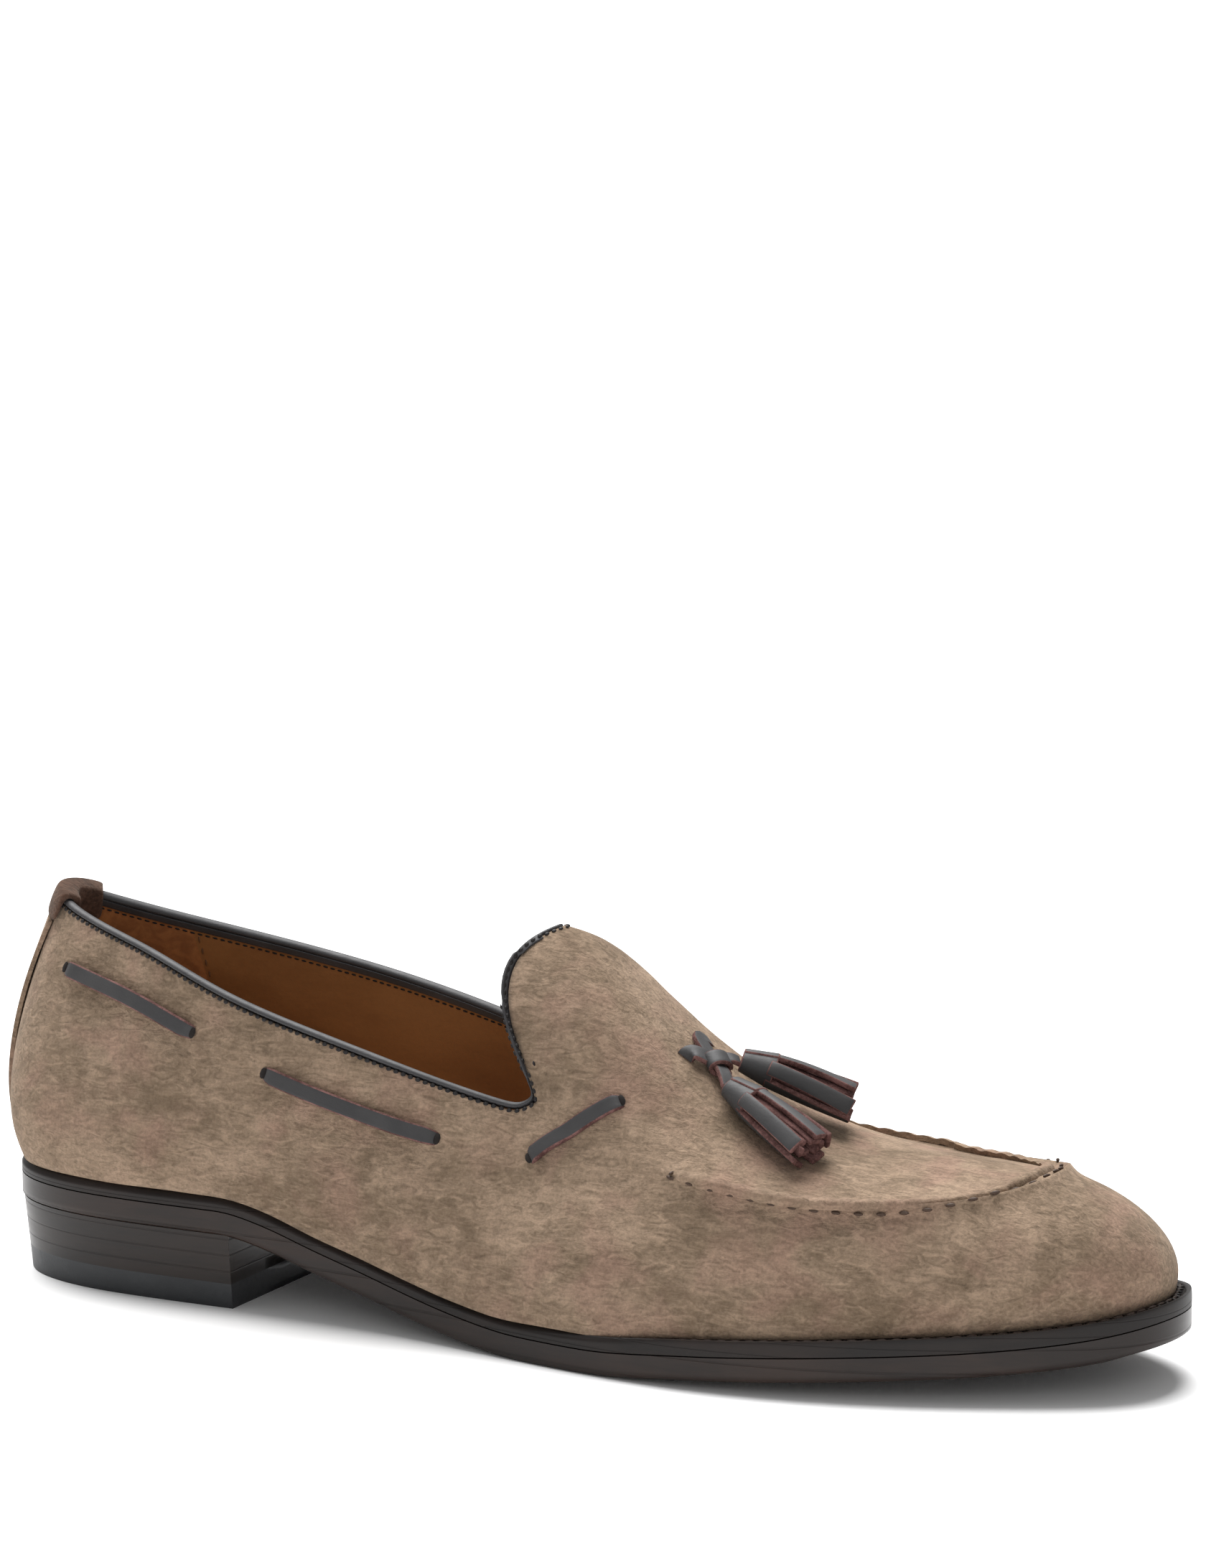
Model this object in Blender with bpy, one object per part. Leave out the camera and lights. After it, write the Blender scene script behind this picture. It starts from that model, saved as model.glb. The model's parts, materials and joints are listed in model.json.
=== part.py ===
"""A right tassel loafer, size 42, built from its maker's pieces.

+X runs to the toe, +Y to the inner side of the foot and +Z up. The origin is the rest point
under the heel. Stations along the shoe are counted from the back end of the sole.
"""

from math import cos, pi, radians, sin

import bmesh
import bpy
import numpy as np
from mathutils import Vector

# Driving sizes
SOLE_LENGTH = 0.2983
BALL_WIDTH = 0.1005
HEEL_REST = 0.036
COLLAR_HEIGHT = 0.0915
RIDGE_HEIGHT = 0.0925

# Bottom unit
LIFT_HEIGHT = 0.006
STACK_HEIGHT = 0.012
OUTSOLE_THICKNESS = 0.0056
WELT_THICKNESS = 0.0030
WELT_WIDTH = 0.0095
LIP_HEIGHT = 0.0006
LIP_WIDTH = 0.0011
WELT_BEVEL = 0.0012
WELT_MARGIN = 0.0040
INSOLE_THICKNESS = 0.0025
EDGE_ROUND = 0.0006
HEEL_BREAST = 0.0715
HEEL_TAPER = 0.0018

# Upper
WALL = 0.0022
SEAM_HEIGHT = 0.0018
BINDING_RISE = 0.0017
BINDING_EXTRA = 0.0004
BACK_STRIP_WIDTH = 0.015
BACK_STRIP_THICKNESS = 0.0011
TAB_THICKNESS = 0.0013
TAB_DROP_OUTSIDE = 0.0045
TAB_DROP_INSIDE = 0.0048
LACE_WIDTH = 0.0034
LACE_THICKNESS = 0.0014
FRONT_BAR_SEAT = 0.0009
CLEARANCE = 0.0003

# Tassels
TASSEL_LENGTH = 0.0275
CAP_RADIUS = 0.0037
STRIPS_PER_TASSEL = 7
STRIP_GROOVE = 0.0012
STRIP_STAGGER = 0.0009

# Mesh steps
OUTLINE_STEPS = 40
TAB_COLUMNS = 5
LACE_STATIONS = 8
WALL_STEPS = (0.0, 0.15, 0.31, 0.48, 0.66, 0.83, 0.95, 1.0)
CROWN_STEPS = (0.06, 0.2, 0.4, 0.62, 0.82, 1.0)

HEEL_HEIGHT = LIFT_HEIGHT + STACK_HEIGHT

# Sole outline: station as a share of the sole's length, half-widths as shares of the ball width
OUTLINE = [
    # station, lateral, medial
    (0.000, 0.000, 0.000),
    (0.020, 0.184, 0.184),
    (0.060, 0.277, 0.276),
    (0.120, 0.325, 0.318),
    (0.220, 0.340, 0.314),
    (0.320, 0.350, 0.276),
    (0.420, 0.390, 0.258),
    (0.520, 0.456, 0.322),
    (0.620, 0.503, 0.443),
    (0.720, 0.493, 0.505),
    (0.820, 0.420, 0.455),
    (0.900, 0.318, 0.341),
    (0.960, 0.216, 0.240),
    (0.990, 0.112, 0.128),
    (1.000, 0.000, 0.000),
]

# Underside of the outsole: station as a share of the sole's length, height as a share of the heel
UNDERSIDE = [
    # station, height
    (0.000, 1.000),
    (0.243, 1.000),
    (0.262, 0.935),
    (0.315, 0.655),
    (0.365, 0.440),
    (0.415, 0.225),
    (0.455, 0.100),
    (0.510, 0.000),
    (0.580, 0.000),
    (0.640, 0.080),
    (0.728, 0.185),
    (0.805, 0.275),
    (0.890, 0.375),
    (0.960, 0.520),
    (1.000, 0.660),
]

# How far the upper stands in from the edge of the sole, as shares of the welt's widest margin
FEATHER_INSET = [
    # station, inset
    (0.00, 0.200),
    (0.20, 0.050),
    (0.40, -0.125),
    (0.55, 0.100),
    (0.63, 0.550),
    (0.72, 0.850),
    (1.00, 1.000),
]

# Ribs of the last, from the back of the heel to the tip of the toe. foot is a share of the sole's
# edge, top_x of its length, the y columns of the ball width, the z columns of the collar height.
# belly and rise are the lower handle as shares of the rib's height. lean is the slope at the top in
# degrees and reach the upper handle as a share of the rib's length.
RIBS = [
    # spans, foot, top_x, lateral_y, medial_y, lateral_z, medial_z, lateral_belly, medial_belly, rise,
    # lean, reach
    (3, 0.000, 0.0283, 0.000, 0.000, 0.968, 0.968, 0.155, 0.155, 0.22, 68, 0.36),
    (3, 0.045, 0.0352, 0.055, 0.055, 0.961, 0.961, 0.150, 0.150, 0.22, 69, 0.36),
    (3, 0.090, 0.0550, 0.103, 0.106, 0.942, 0.936, 0.130, 0.130, 0.22, 71, 0.36),
    (3, 0.145, 0.0965, 0.155, 0.165, 0.909, 0.895, 0.100, 0.100, 0.24, 74, 0.35),
    (3, 0.205, 0.1525, 0.215, 0.219, 0.869, 0.852, 0.080, 0.085, 0.25, 76, 0.34),
    (3, 0.265, 0.2213, 0.269, 0.261, 0.800, 0.805, 0.070, 0.110, 0.26, 80, 0.33),
    (3, 0.325, 0.2950, 0.294, 0.274, 0.738, 0.758, 0.070, 0.170, 0.28, 80, 0.33),
    (3, 0.385, 0.3620, 0.295, 0.279, 0.683, 0.706, 0.050, 0.210, 0.29, 76, 0.33),
    (3, 0.432, 0.4157, 0.282, 0.277, 0.635, 0.656, 0.040, 0.200, 0.30, 70, 0.33),
    (2, 0.470, 0.4593, 0.261, 0.259, 0.597, 0.604, 0.030, 0.160, 0.30, 66, 0.33),
    (1, 0.492, 0.4811, 0.248, 0.248, 0.586, 0.588, 0.030, 0.130, 0.30, 65, 0.33),
    (3, 0.508, 0.4948, 0.241, 0.241, 0.610, 0.612, 0.030, 0.110, 0.30, 65, 0.33),
    (3, 0.545, 0.5364, 0.287, 0.284, 0.555, 0.557, 0.030, 0.080, 0.31, 62, 0.33),
    (3, 0.592, 0.5833, 0.317, 0.312, 0.516, 0.517, 0.030, 0.050, 0.32, 60, 0.33),
    (3, 0.640, 0.6369, 0.333, 0.331, 0.481, 0.481, 0.040, 0.040, 0.33, 60, 0.33),
    (3, 0.694, 0.6906, 0.334, 0.333, 0.457, 0.457, 0.050, 0.050, 0.34, 60, 0.33),
    (3, 0.750, 0.7442, 0.326, 0.327, 0.446, 0.446, 0.070, 0.070, 0.34, 60, 0.33),
    (3, 0.808, 0.7979, 0.285, 0.285, 0.447, 0.447, 0.090, 0.090, 0.36, 52, 0.34),
    (3, 0.860, 0.8381, 0.235, 0.235, 0.457, 0.457, 0.120, 0.120, 0.38, 40, 0.36),
    (3, 0.912, 0.8699, 0.171, 0.171, 0.472, 0.472, 0.150, 0.150, 0.40, 27, 0.39),
    (3, 0.958, 0.8917, 0.093, 0.093, 0.491, 0.491, 0.190, 0.190, 0.43, 15, 0.42),
    (0, 1.000, 0.8984, 0.000, 0.000, 0.501, 0.501, 0.210, 0.210, 0.45, 8, 0.43),
]
CORNER_RIB = 11

# The ridge of tongue and vamp, for the ribs from the tongue's corner on
RIDGE = [
    # ridge_x as a share of the sole's length, ridge_z of the ridge height, slope beside the seam in
    # degrees, handles beside the seam and at the ridge as shares of the distance between them
    (0.4811, 1.000, 78, 0.46, 0.50),
    (0.5179, 0.957, 74, 0.44, 0.48),
    (0.5632, 0.818, 60, 0.40, 0.45),
    (0.6135, 0.692, 44, 0.36, 0.42),
    (0.6638, 0.591, 30, 0.34, 0.38),
    (0.7124, 0.529, 24, 0.33, 0.34),
    (0.7576, 0.512, 21, 0.33, 0.33),
    (0.7945, 0.508, 18, 0.33, 0.33),
    (0.8247, 0.504, 13, 0.33, 0.33),
    (0.8465, 0.500, 8, 0.33, 0.33),
    (0.8616, 0.499, 4, 0.33, 0.33),
]
TONGUE_BEND = 0.0110
SEAM_START = 13.4
SEAM_FADE = 0.6
SEAM_STEP = len(WALL_STEPS) - 1

LATERAL, MEDIAL = -1, 1

# The bars of the lace on each side, as (rib, t) places of the upper's outer face
LACE_BARS = {
    "rear": [(2.25, 0.82), (3.5, 0.81), (4.7, 0.78)],
    "middle": [(5.6, 0.74), (6.9, 0.74), (8.2, 0.76)],
    "front": [(11.1, 0.755), (11.5, 0.87), (12.0, 1.015), (12.4, 1.115), (12.85, 1.245)],
}
KNOT_STRAP = [(13.55, 1.62), (13.65, 1.78), (13.75, 1.93), (13.75, 2.07), (13.7, 2.20)]
KNOT_CENTRE = (LATERAL, 13.88, 1.79)
KNOT_WIDTH = 0.0075
KNOT_THICKNESS = 0.0042
KNOT_WRAP_LENGTH = 0.0064

# Where each tassel's cap begins and its strips end, from the knot's middle, as shares of the tassel's length
TASSELS = {
    "lateral": ((0.26, -0.14, -0.16), (1.25, -0.43, -0.58)),
    "medial": ((0.17, 0.25, -0.02), (0.97, 0.57, -0.32)),
}

# Sections of a tassel: share of its length, half-width and half-depth in cap radii, depth of cut
TASSEL_SECTIONS = [
    # share, half-width, half-depth, cut
    (0.00, 0.80, 0.75, 0.0),
    (0.03, 1.05, 0.95, 0.0),
    (0.26, 1.10, 0.92, 0.0),
    (0.31, 1.00, 0.80, 0.2),
    (0.55, 1.28, 0.80, 0.6),
    (0.80, 1.66, 0.84, 0.9),
    (1.00, 1.86, 0.80, 1.0),
]


# Curves


def spline(values, at, flat_start=False, flat_end=False):
    """A cubic curve through values at 0, 1, 2..., read at the places in at."""
    values = np.asarray(values, float)
    last = len(values) - 1
    matrix = np.zeros((last + 1, last + 1))
    right = np.zeros(last + 1)
    for i in range(1, last):
        matrix[i, i - 1:i + 2] = (1, 4, 1)
        right[i] = 3 * (values[i + 1] - values[i - 1])
    matrix[0, :2] = (1, 0) if flat_start else (2, 1)
    right[0] = 0 if flat_start else 3 * (values[1] - values[0])
    matrix[last, -2:] = (0, 1) if flat_end else (1, 2)
    right[last] = 0 if flat_end else 3 * (values[last] - values[last - 1])
    slopes = np.linalg.solve(matrix, right)
    at = np.atleast_1d(np.asarray(at, float))
    i = np.clip(at.astype(int), 0, last - 1)
    t = at - i
    start, end = values[i], values[i + 1]
    leave, arrive = slopes[i], slopes[i + 1]
    bend = (start - end) * 2 + leave + arrive
    return start + leave * t + (3 * (end - start) - 2 * leave - arrive) * t ** 2 + bend * t ** 3


def monotone(table, at):
    """A curve through (place, value) rows that never swings past its rows."""
    places = np.array([row[0] for row in table])
    values = np.array([row[1] for row in table])
    steps = np.diff(places)
    rates = np.diff(values) / steps
    slopes = np.zeros(len(places))
    slopes[0], slopes[-1] = rates[0], rates[-1]
    for i in range(1, len(places) - 1):
        if rates[i - 1] * rates[i] > 0:
            before = 2 * steps[i] + steps[i - 1]
            after = steps[i] + 2 * steps[i - 1]
            slopes[i] = (before + after) / (before / rates[i - 1] + after / rates[i])
    at = np.clip(np.atleast_1d(np.asarray(at, float)), places[0], places[-1])
    i = np.clip(np.searchsorted(places, at, side="right") - 1, 0, len(steps) - 1)
    t = (at - places[i]) / steps[i]
    rise = values[i + 1] - values[i]
    leave, arrive = slopes[i] * steps[i], slopes[i + 1] * steps[i]
    return (
        values[i]
        + leave * t
        + (3 * rise - 2 * leave - arrive) * t ** 2
        + (leave + arrive - 2 * rise) * t ** 3
    )


def ease(share):
    """0 before 0, 1 after 1 and a smooth rise between."""
    share = min(max(share, 0.0), 1.0)
    return share * share * (3 - 2 * share)


def bezier(points, t):
    a, b, c, d = points
    return a * (1 - t) ** 3 + b * 3 * t * (1 - t) ** 2 + c * 3 * t * t * (1 - t) + d * t ** 3


def unit(vector):
    return vector / np.linalg.norm(vector)


# The sole's edge


def trace_edge(side):
    """Points and outward directions along one side of the sole, with their shares of its length."""
    column = 1 if side == LATERAL else 2
    x = [row[0] * SOLE_LENGTH for row in OUTLINE]
    y = [row[column] * BALL_WIDTH * side for row in OUTLINE]
    at = np.linspace(0, len(OUTLINE) - 1, 1401)
    points = np.stack([spline(x, at, True, True), spline(y, at)], axis=1)
    steps = np.gradient(points, axis=0)
    outward = np.stack([steps[:, 1], -steps[:, 0]], axis=1) * -side
    outward /= np.linalg.norm(outward, axis=1)[:, None]
    travelled = np.r_[0, np.cumsum(np.linalg.norm(np.diff(points, axis=0), axis=1))]
    return travelled / travelled[-1], points, outward


EDGES = {side: trace_edge(side) for side in (LATERAL, MEDIAL)}


def edge_point(side, share):
    """A point of the sole's edge in plan, and the direction straight out from it."""
    shares, points, outward = EDGES[side]
    point = np.array([np.interp(share, shares, points[:, k]) for k in (0, 1)])
    out = np.array([np.interp(share, shares, outward[:, k]) for k in (0, 1)])
    return point, unit(out)


def underside(x):
    station = np.clip(x / SOLE_LENGTH, 0, 1)
    return float(monotone(UNDERSIDE, station)[0]) * HEEL_HEIGHT


def welt_seat(x):
    return underside(x) + OUTSOLE_THICKNESS


def ledge(x):
    return welt_seat(x) + CLEARANCE + WELT_THICKNESS


def feather_inset(x):
    return WELT_MARGIN * float(monotone(FEATHER_INSET, np.clip(x / SOLE_LENGTH, 0, 1))[0])


def welt_share(x):
    """1 where the welt shows as a ledge, 0 where the upper hangs over it."""
    return ease((x / SOLE_LENGTH - 0.53) / 0.12)


def share_at(side, x):
    """How far along one side of the sole's edge a station lies."""
    shares, points, _ = EDGES[side]
    return float(np.interp(x, points[:, 0], shares))


def edge_walk():
    """Even steps round the sole's edge, with one step moved to just ahead of the heel's breast."""
    walk = {}
    for side in (LATERAL, MEDIAL):
        shares = [k / OUTLINE_STEPS for k in range(OUTLINE_STEPS + 1)]
        breast = share_at(side, HEEL_BREAST + EDGE_ROUND)
        shares[round(breast * OUTLINE_STEPS)] = breast
        walk[side] = shares
    return [(LATERAL, share) for share in walk[LATERAL]] + [
        (MEDIAL, share) for share in walk[MEDIAL][-2:0:-1]
    ]


def edge_loop(inset, height):
    """A closed loop inside the sole's edge. inset and height are functions of the station."""
    loop = []
    for side, share in edge_walk():
        point, out = edge_point(side, share)
        point = point - out * inset(point[0])
        loop.append((point[0], point[1], height(point[0])))
    return loop


# Solids


def new_material(name, colour, roughness):
    material = bpy.data.materials.new(name)
    material.use_nodes = True
    shader = material.node_tree.nodes["Principled BSDF"]
    shader.inputs["Base Color"].default_value = (*colour, 1)
    shader.inputs["Roughness"].default_value = roughness
    shader.inputs["Metallic"].default_value = 0
    material.diffuse_color = (*colour, 1)
    return material


def new_solid(name, points, faces, material, sharp=40):
    """A named object from points and faces, moved so that the heel's rest point is the origin."""
    mesh = bpy.data.meshes.new(name)
    shift = Vector((HEEL_REST, 0, 0))
    mesh.from_pydata([Vector(point) - shift for point in points], [], faces)
    edit = bmesh.new()
    edit.from_mesh(mesh)
    bmesh.ops.recalc_face_normals(edit, faces=edit.faces)
    bmesh.ops.triangulate(edit, faces=edit.faces)
    edit.to_mesh(mesh)
    edit.free()
    mesh.shade_smooth()
    mesh.set_sharp_from_angle(angle=radians(sharp))
    mesh.materials.append(material)
    solid = bpy.data.objects.new(name, mesh)
    bpy.context.scene.collection.objects.link(solid)
    return solid


def cap_faces(start, count, flip):
    """Bars straight across a loop that is the same on both sides of its first and middle points."""
    half = count // 2
    faces = [(start, start + 1, start + count - 1)]
    for i in range(1, half - 1):
        faces.append((start + i, start + i + 1, start + count - i - 1, start + count - i))
    faces.append((start + half - 1, start + half, start + half + 1))
    return [face[::-1] for face in faces] if flip else faces


def side_faces(start, above, count):
    return [
        (start + i, start + (i + 1) % count, above + (i + 1) % count, above + i)
        for i in range(count)
    ]


def stacked_solid(name, loops, material, ring=False):
    """Loops joined one to the next, and closed by caps, or into a ring."""
    count = len(loops[0])
    points = [point for loop in loops for point in loop]
    faces = []
    for level in range(len(loops) - 1):
        faces += side_faces(level * count, (level + 1) * count, count)
    if ring:
        faces += side_faces((len(loops) - 1) * count, 0, count)
    else:
        faces += cap_faces(0, count, True)
        faces += cap_faces((len(loops) - 1) * count, count, False)
    return new_solid(name, points, faces, material)


def make_outsole(material):
    loops = [
        edge_loop(lambda x: EDGE_ROUND * 1.3, underside),
        edge_loop(lambda x: 0, lambda x: underside(x) + EDGE_ROUND),
        edge_loop(lambda x: 0, welt_seat),
    ]
    return stacked_solid("outsole", loops, material)


def make_welt(material):
    def seat(x):
        return welt_seat(x) + CLEARANCE

    def lip(x):
        return ledge(x) + LIP_HEIGHT * welt_share(x)

    def blend(low, high):
        return lambda x: low + (high - low) * welt_share(x)

    loops = [
        edge_loop(lambda x: 0, seat),
        edge_loop(lambda x: 0, lambda x: ledge(x) - WELT_BEVEL * (1 - welt_share(x))),
        edge_loop(blend(WELT_BEVEL, LIP_WIDTH * 0.2), lip),
        edge_loop(blend(WELT_BEVEL * 1.3, LIP_WIDTH), lip),
        edge_loop(blend(WELT_BEVEL * 1.8, LIP_WIDTH * 1.5), ledge),
        edge_loop(lambda x: WELT_WIDTH, ledge),
        edge_loop(lambda x: WELT_WIDTH, seat),
    ]
    return stacked_solid("welt", loops, material, ring=True)


def make_insole(material):
    def flange(x):
        return feather_inset(x) + WALL + 2 * CLEARANCE

    def plug(x):
        return WELT_WIDTH + CLEARANCE

    loops = [
        edge_loop(plug, lambda x: welt_seat(x) + CLEARANCE),
        edge_loop(plug, lambda x: ledge(x) + CLEARANCE),
        edge_loop(flange, lambda x: ledge(x) + CLEARANCE),
        edge_loop(flange, lambda x: ledge(x) + CLEARANCE + INSOLE_THICKNESS),
    ]
    return stacked_solid("insole", loops, material)


def heel_loop(inset, height, breast):
    """The heel's outline at one height: the sole's edge, cut straight across at the breast."""
    steps = 14
    cut = {}
    for side in (LATERAL, MEDIAL):
        reach = share_at(side, breast)
        cut[side] = [reach * k / steps for k in range(steps + 1)]
    loop = []
    walk = [(LATERAL, share) for share in cut[LATERAL]] + [(MEDIAL, share) for share in cut[MEDIAL][:0:-1]]
    for side, share in walk:
        point, out = edge_point(side, share)
        point = point - out * inset
        loop.append((min(point[0], breast), point[1], height))
    front = loop[steps]
    middle = (breast, 0.0, height)
    return loop[:steps] + [front, middle] + loop[steps + 1:]


def make_heel(stack_material, lift_material):
    def inset(height):
        return EDGE_ROUND + HEEL_TAPER * (1 - height / HEEL_HEIGHT)

    levels = [(height, inset(height)) for height in (LIFT_HEIGHT, HEEL_HEIGHT)]
    stack = [heel_loop(depth, height, HEEL_BREAST) for height, depth in levels]
    stacked_solid("heel_stack", stack, stack_material)
    levels = [(height, inset(height)) for height in (0.0, LIFT_HEIGHT)]
    lift = [heel_loop(depth, height, HEEL_BREAST) for height, depth in levels]
    stacked_solid("top_lift", lift, lift_material)


# The last


def rib_column(name, rib, flat_ends=False):
    """One column of the rib table at any place along it, with a break at the tongue's corner."""
    names = (
        "spans", "foot", "top_x", "lateral_y", "medial_y", "lateral_z", "medial_z",
        "lateral_belly", "medial_belly", "rise", "lean", "reach",
    )
    values = [row[names.index(name)] for row in RIBS]
    if rib <= CORNER_RIB:
        return float(spline(values[:CORNER_RIB + 1], rib, flat_ends, False)[0])
    return float(spline(values[CORNER_RIB:], rib - CORNER_RIB, False, flat_ends)[0])


def ridge_column(column, rib):
    return float(spline([row[column] for row in RIDGE], rib - CORNER_RIB)[0])


def ridge_point(rib):
    x = ridge_column(0, rib) * SOLE_LENGTH
    z = ridge_column(1, rib) * RIDGE_HEIGHT
    return np.array([x, 0.0, z])


def rib_ends(side, rib):
    """Where a rib leaves the sole, where it meets the collar or the seam, and its way out."""
    word = "lateral" if side == LATERAL else "medial"
    point, out = edge_point(side, rib_column("foot", rib))
    point = point - out * feather_inset(point[0])
    foot = np.array([point[0], point[1], ledge(point[0]) + CLEARANCE])
    top = np.array([
        rib_column("top_x", rib, True) * SOLE_LENGTH,
        rib_column(word + "_y", rib) * BALL_WIDTH * side,
        rib_column(word + "_z", rib, True) * COLLAR_HEIGHT,
    ])
    return foot, top, np.array([out[0], out[1], 0.0])


def wall_point(side, rib, t):
    """A point of the upper's outer face between the sole and the collar or the seam."""
    word = "lateral" if side == LATERAL else "medial"
    foot, top, out = rib_ends(side, rib)
    tall = top[2] - foot[2]
    belly = rib_column(word + "_belly", rib, True) * tall
    rise = rib_column("rise", rib, True) * tall
    lean = radians(rib_column("lean", rib, True))
    reach = rib_column("reach", rib, True) * np.linalg.norm(top - foot)
    low = foot + out * belly + np.array([0, 0, rise])
    high = top + out * reach * cos(lean) - np.array([0, 0, reach * sin(lean)])
    return bezier((foot, low, high, top), t)


def crown_point(side, rib, t):
    """A point of the tongue and vamp between the seam and the ridge."""
    _, top, _ = rib_ends(side, rib)
    ridge = ridge_point(rib)
    across = ridge - top
    level = np.array([across[0], across[1], 0.0])
    slope = radians(ridge_column(2, rib))
    reach = ridge_column(3, rib) * np.linalg.norm(across)
    low = top + unit(level) * reach * cos(slope) + np.array([0, 0, reach * sin(slope)])
    high = ridge - level * ridge_column(4, rib)
    point = bezier((top, low, high, ridge), t)
    share = max(0.0, 1 - (rib - CORNER_RIB) / 2.2)
    point[0] -= TONGUE_BEND * share ** 2 * sin(pi * t) ** 1.3
    return point


def skin_point(side, rib, t):
    """A point of the outer face: t runs 0 to 1 up the wall and 1 to 2 over the crown."""
    if t <= 1:
        return wall_point(side, rib, t)
    return crown_point(side, rib, t - 1)


def skin_frame(side, rib, t):
    """A point of the outer face and the direction straight out from it."""
    step = 0.01
    t_low = max(t - step, 0.0 if t <= 1 else 1.0)
    t_high = min(t + step, 1.0 if t < 1 else 2.0)
    rib_low, rib_high = max(rib - step, 0.0), min(rib + step, len(RIBS) - 1.0)
    along = skin_point(side, rib_high, t) - skin_point(side, rib_low, t)
    up = skin_point(side, rib, t_high) - skin_point(side, rib, t_low)
    return skin_point(side, rib, t), unit(np.cross(along, up)) * -side


def rib_places():
    """The ribs that the mesh uses, and the place of the tongue's corner among them."""
    places = []
    for index, row in enumerate(RIBS[:-1]):
        if index == CORNER_RIB:
            corner = len(places)
        places += [index + k / row[0] for k in range(row[0])]
    return places + [len(RIBS) - 1.0], corner


class Skin:
    """The upper's outer face as a net of four-sided faces, both sides in one."""

    def __init__(self):
        self.points = []
        self.index = {}
        self.faces = []
        self.raised = []
        self.places, self.corner = rib_places()
        self.last = len(self.places) - 1
        self.rows = SEAM_STEP + len(CROWN_STEPS)
        self.fill_points()
        self.fill_faces()
        self.normals = self.find_normals()

    def add(self, key, point, raised=0.0):
        self.index[key] = len(self.points)
        self.points.append(point)
        self.raised.append(raised)

    def at(self, side, column, row):
        if column in (0, self.last) or row == self.rows:
            side = LATERAL
        return self.index[side, column, row]

    def fill_points(self):
        for side in (LATERAL, MEDIAL):
            for column, rib in enumerate(self.places):
                if side == MEDIAL and column in (0, self.last):
                    continue
                seam = ease((rib - SEAM_START) / SEAM_FADE)
                for row, t in enumerate(WALL_STEPS):
                    raised = SEAM_HEIGHT * seam if row == SEAM_STEP else 0.0
                    self.add((side, column, row), wall_point(side, rib, t), raised)
                if column < self.corner:
                    continue
                for step, t in enumerate(CROWN_STEPS):
                    row = SEAM_STEP + 1 + step
                    on_ridge = row == self.rows
                    if on_ridge and (side == MEDIAL or column == self.last):
                        continue
                    self.add((side, column, row), crown_point(side, rib, t))

    def fill_faces(self):
        for side in (LATERAL, MEDIAL):
            for column in range(self.last):
                top = self.rows if column >= self.corner else SEAM_STEP
                for row in range(top):
                    if column == self.last - 1 and row == self.rows - 1:
                        continue
                    face = [
                        self.at(side, column, row),
                        self.at(side, column + 1, row),
                        self.at(side, column + 1, row + 1),
                        self.at(side, column, row + 1),
                    ]
                    self.faces.append(face if side == LATERAL else face[::-1])
        before = self.last - 1
        self.faces.append([
            self.at(LATERAL, before, self.rows),
            self.at(LATERAL, before, self.rows - 1),
            self.at(LATERAL, self.last, self.rows - 1),
            self.at(MEDIAL, before, self.rows - 1),
        ])

    def find_normals(self):
        points = np.array(self.points)
        normals = np.zeros_like(points)
        for a, b, c, d in self.faces:
            area = np.cross(points[c] - points[a], points[d] - points[b])
            normals[[a, b, c, d]] += area
        return normals / np.linalg.norm(normals, axis=1)[:, None]

    def rim(self):
        """The open edges of the net, each as the pair of points that its face runs through."""
        used = {(a, b) for face in self.faces for a, b in zip(face, face[1:] + face[:1])}
        return [(a, b) for a, b in used if (b, a) not in used]

    def collar(self):
        """The collar and the tongue's edge: points, the way up from the edge and the way out."""
        walk = [(LATERAL, column, SEAM_STEP) for column in range(self.corner + 1)]
        walk += [(LATERAL, self.corner, row) for row in range(SEAM_STEP + 1, self.rows + 1)]
        walk += [(MEDIAL, self.corner, row) for row in range(self.rows - 1, SEAM_STEP, -1)]
        walk += [(MEDIAL, column, SEAM_STEP) for column in range(self.corner, 0, -1)]
        found = []
        for side, column, row in walk:
            here = self.at(side, column, row)
            point = self.points[here]
            inner = [(column, row - 1)] if row == SEAM_STEP else []
            inner += [(column + 1, row)] if column == self.corner else []
            up = sum(unit(point - self.points[self.at(side, *place)]) for place in inner)
            found.append((point, unit(up), self.normals[here]))
        return found


def make_upper(skin, material):
    outer = [p + n * r for p, n, r in zip(skin.points, skin.normals, skin.raised)]
    inner = [p - n * WALL for p, n in zip(skin.points, skin.normals)]
    feet = {skin.at(side, column, 0) for side in (LATERAL, MEDIAL) for column in range(skin.last + 1)}
    for foot in feet:
        inner[foot][2] = outer[foot][2]
    count = len(outer)
    faces = [list(face) for face in skin.faces]
    faces += [[count + point for point in face[::-1]] for face in skin.faces]
    faces += [[b, a, count + a, count + b] for a, b in skin.rim()]
    return new_solid("upper", outer + inner, faces, material)


def rim_sweep(name, frames, section, material, closed):
    """A section of (outward, upward) points carried along frames of the collar's edge."""
    points = []
    for point, up, out in frames:
        centre = point - out * WALL / 2
        points += [centre + out * s + up * h for s, h in section]
    count = len(section)
    stations = len(frames)
    faces = []
    for station in range(stations if closed else stations - 1):
        faces += side_faces(station * count, (station + 1) % stations * count, count)
    if not closed:
        faces.append(list(range(count))[::-1])
        faces.append([(stations - 1) * count + k for k in range(count)])
    return new_solid(name, points, faces, material)


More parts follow.
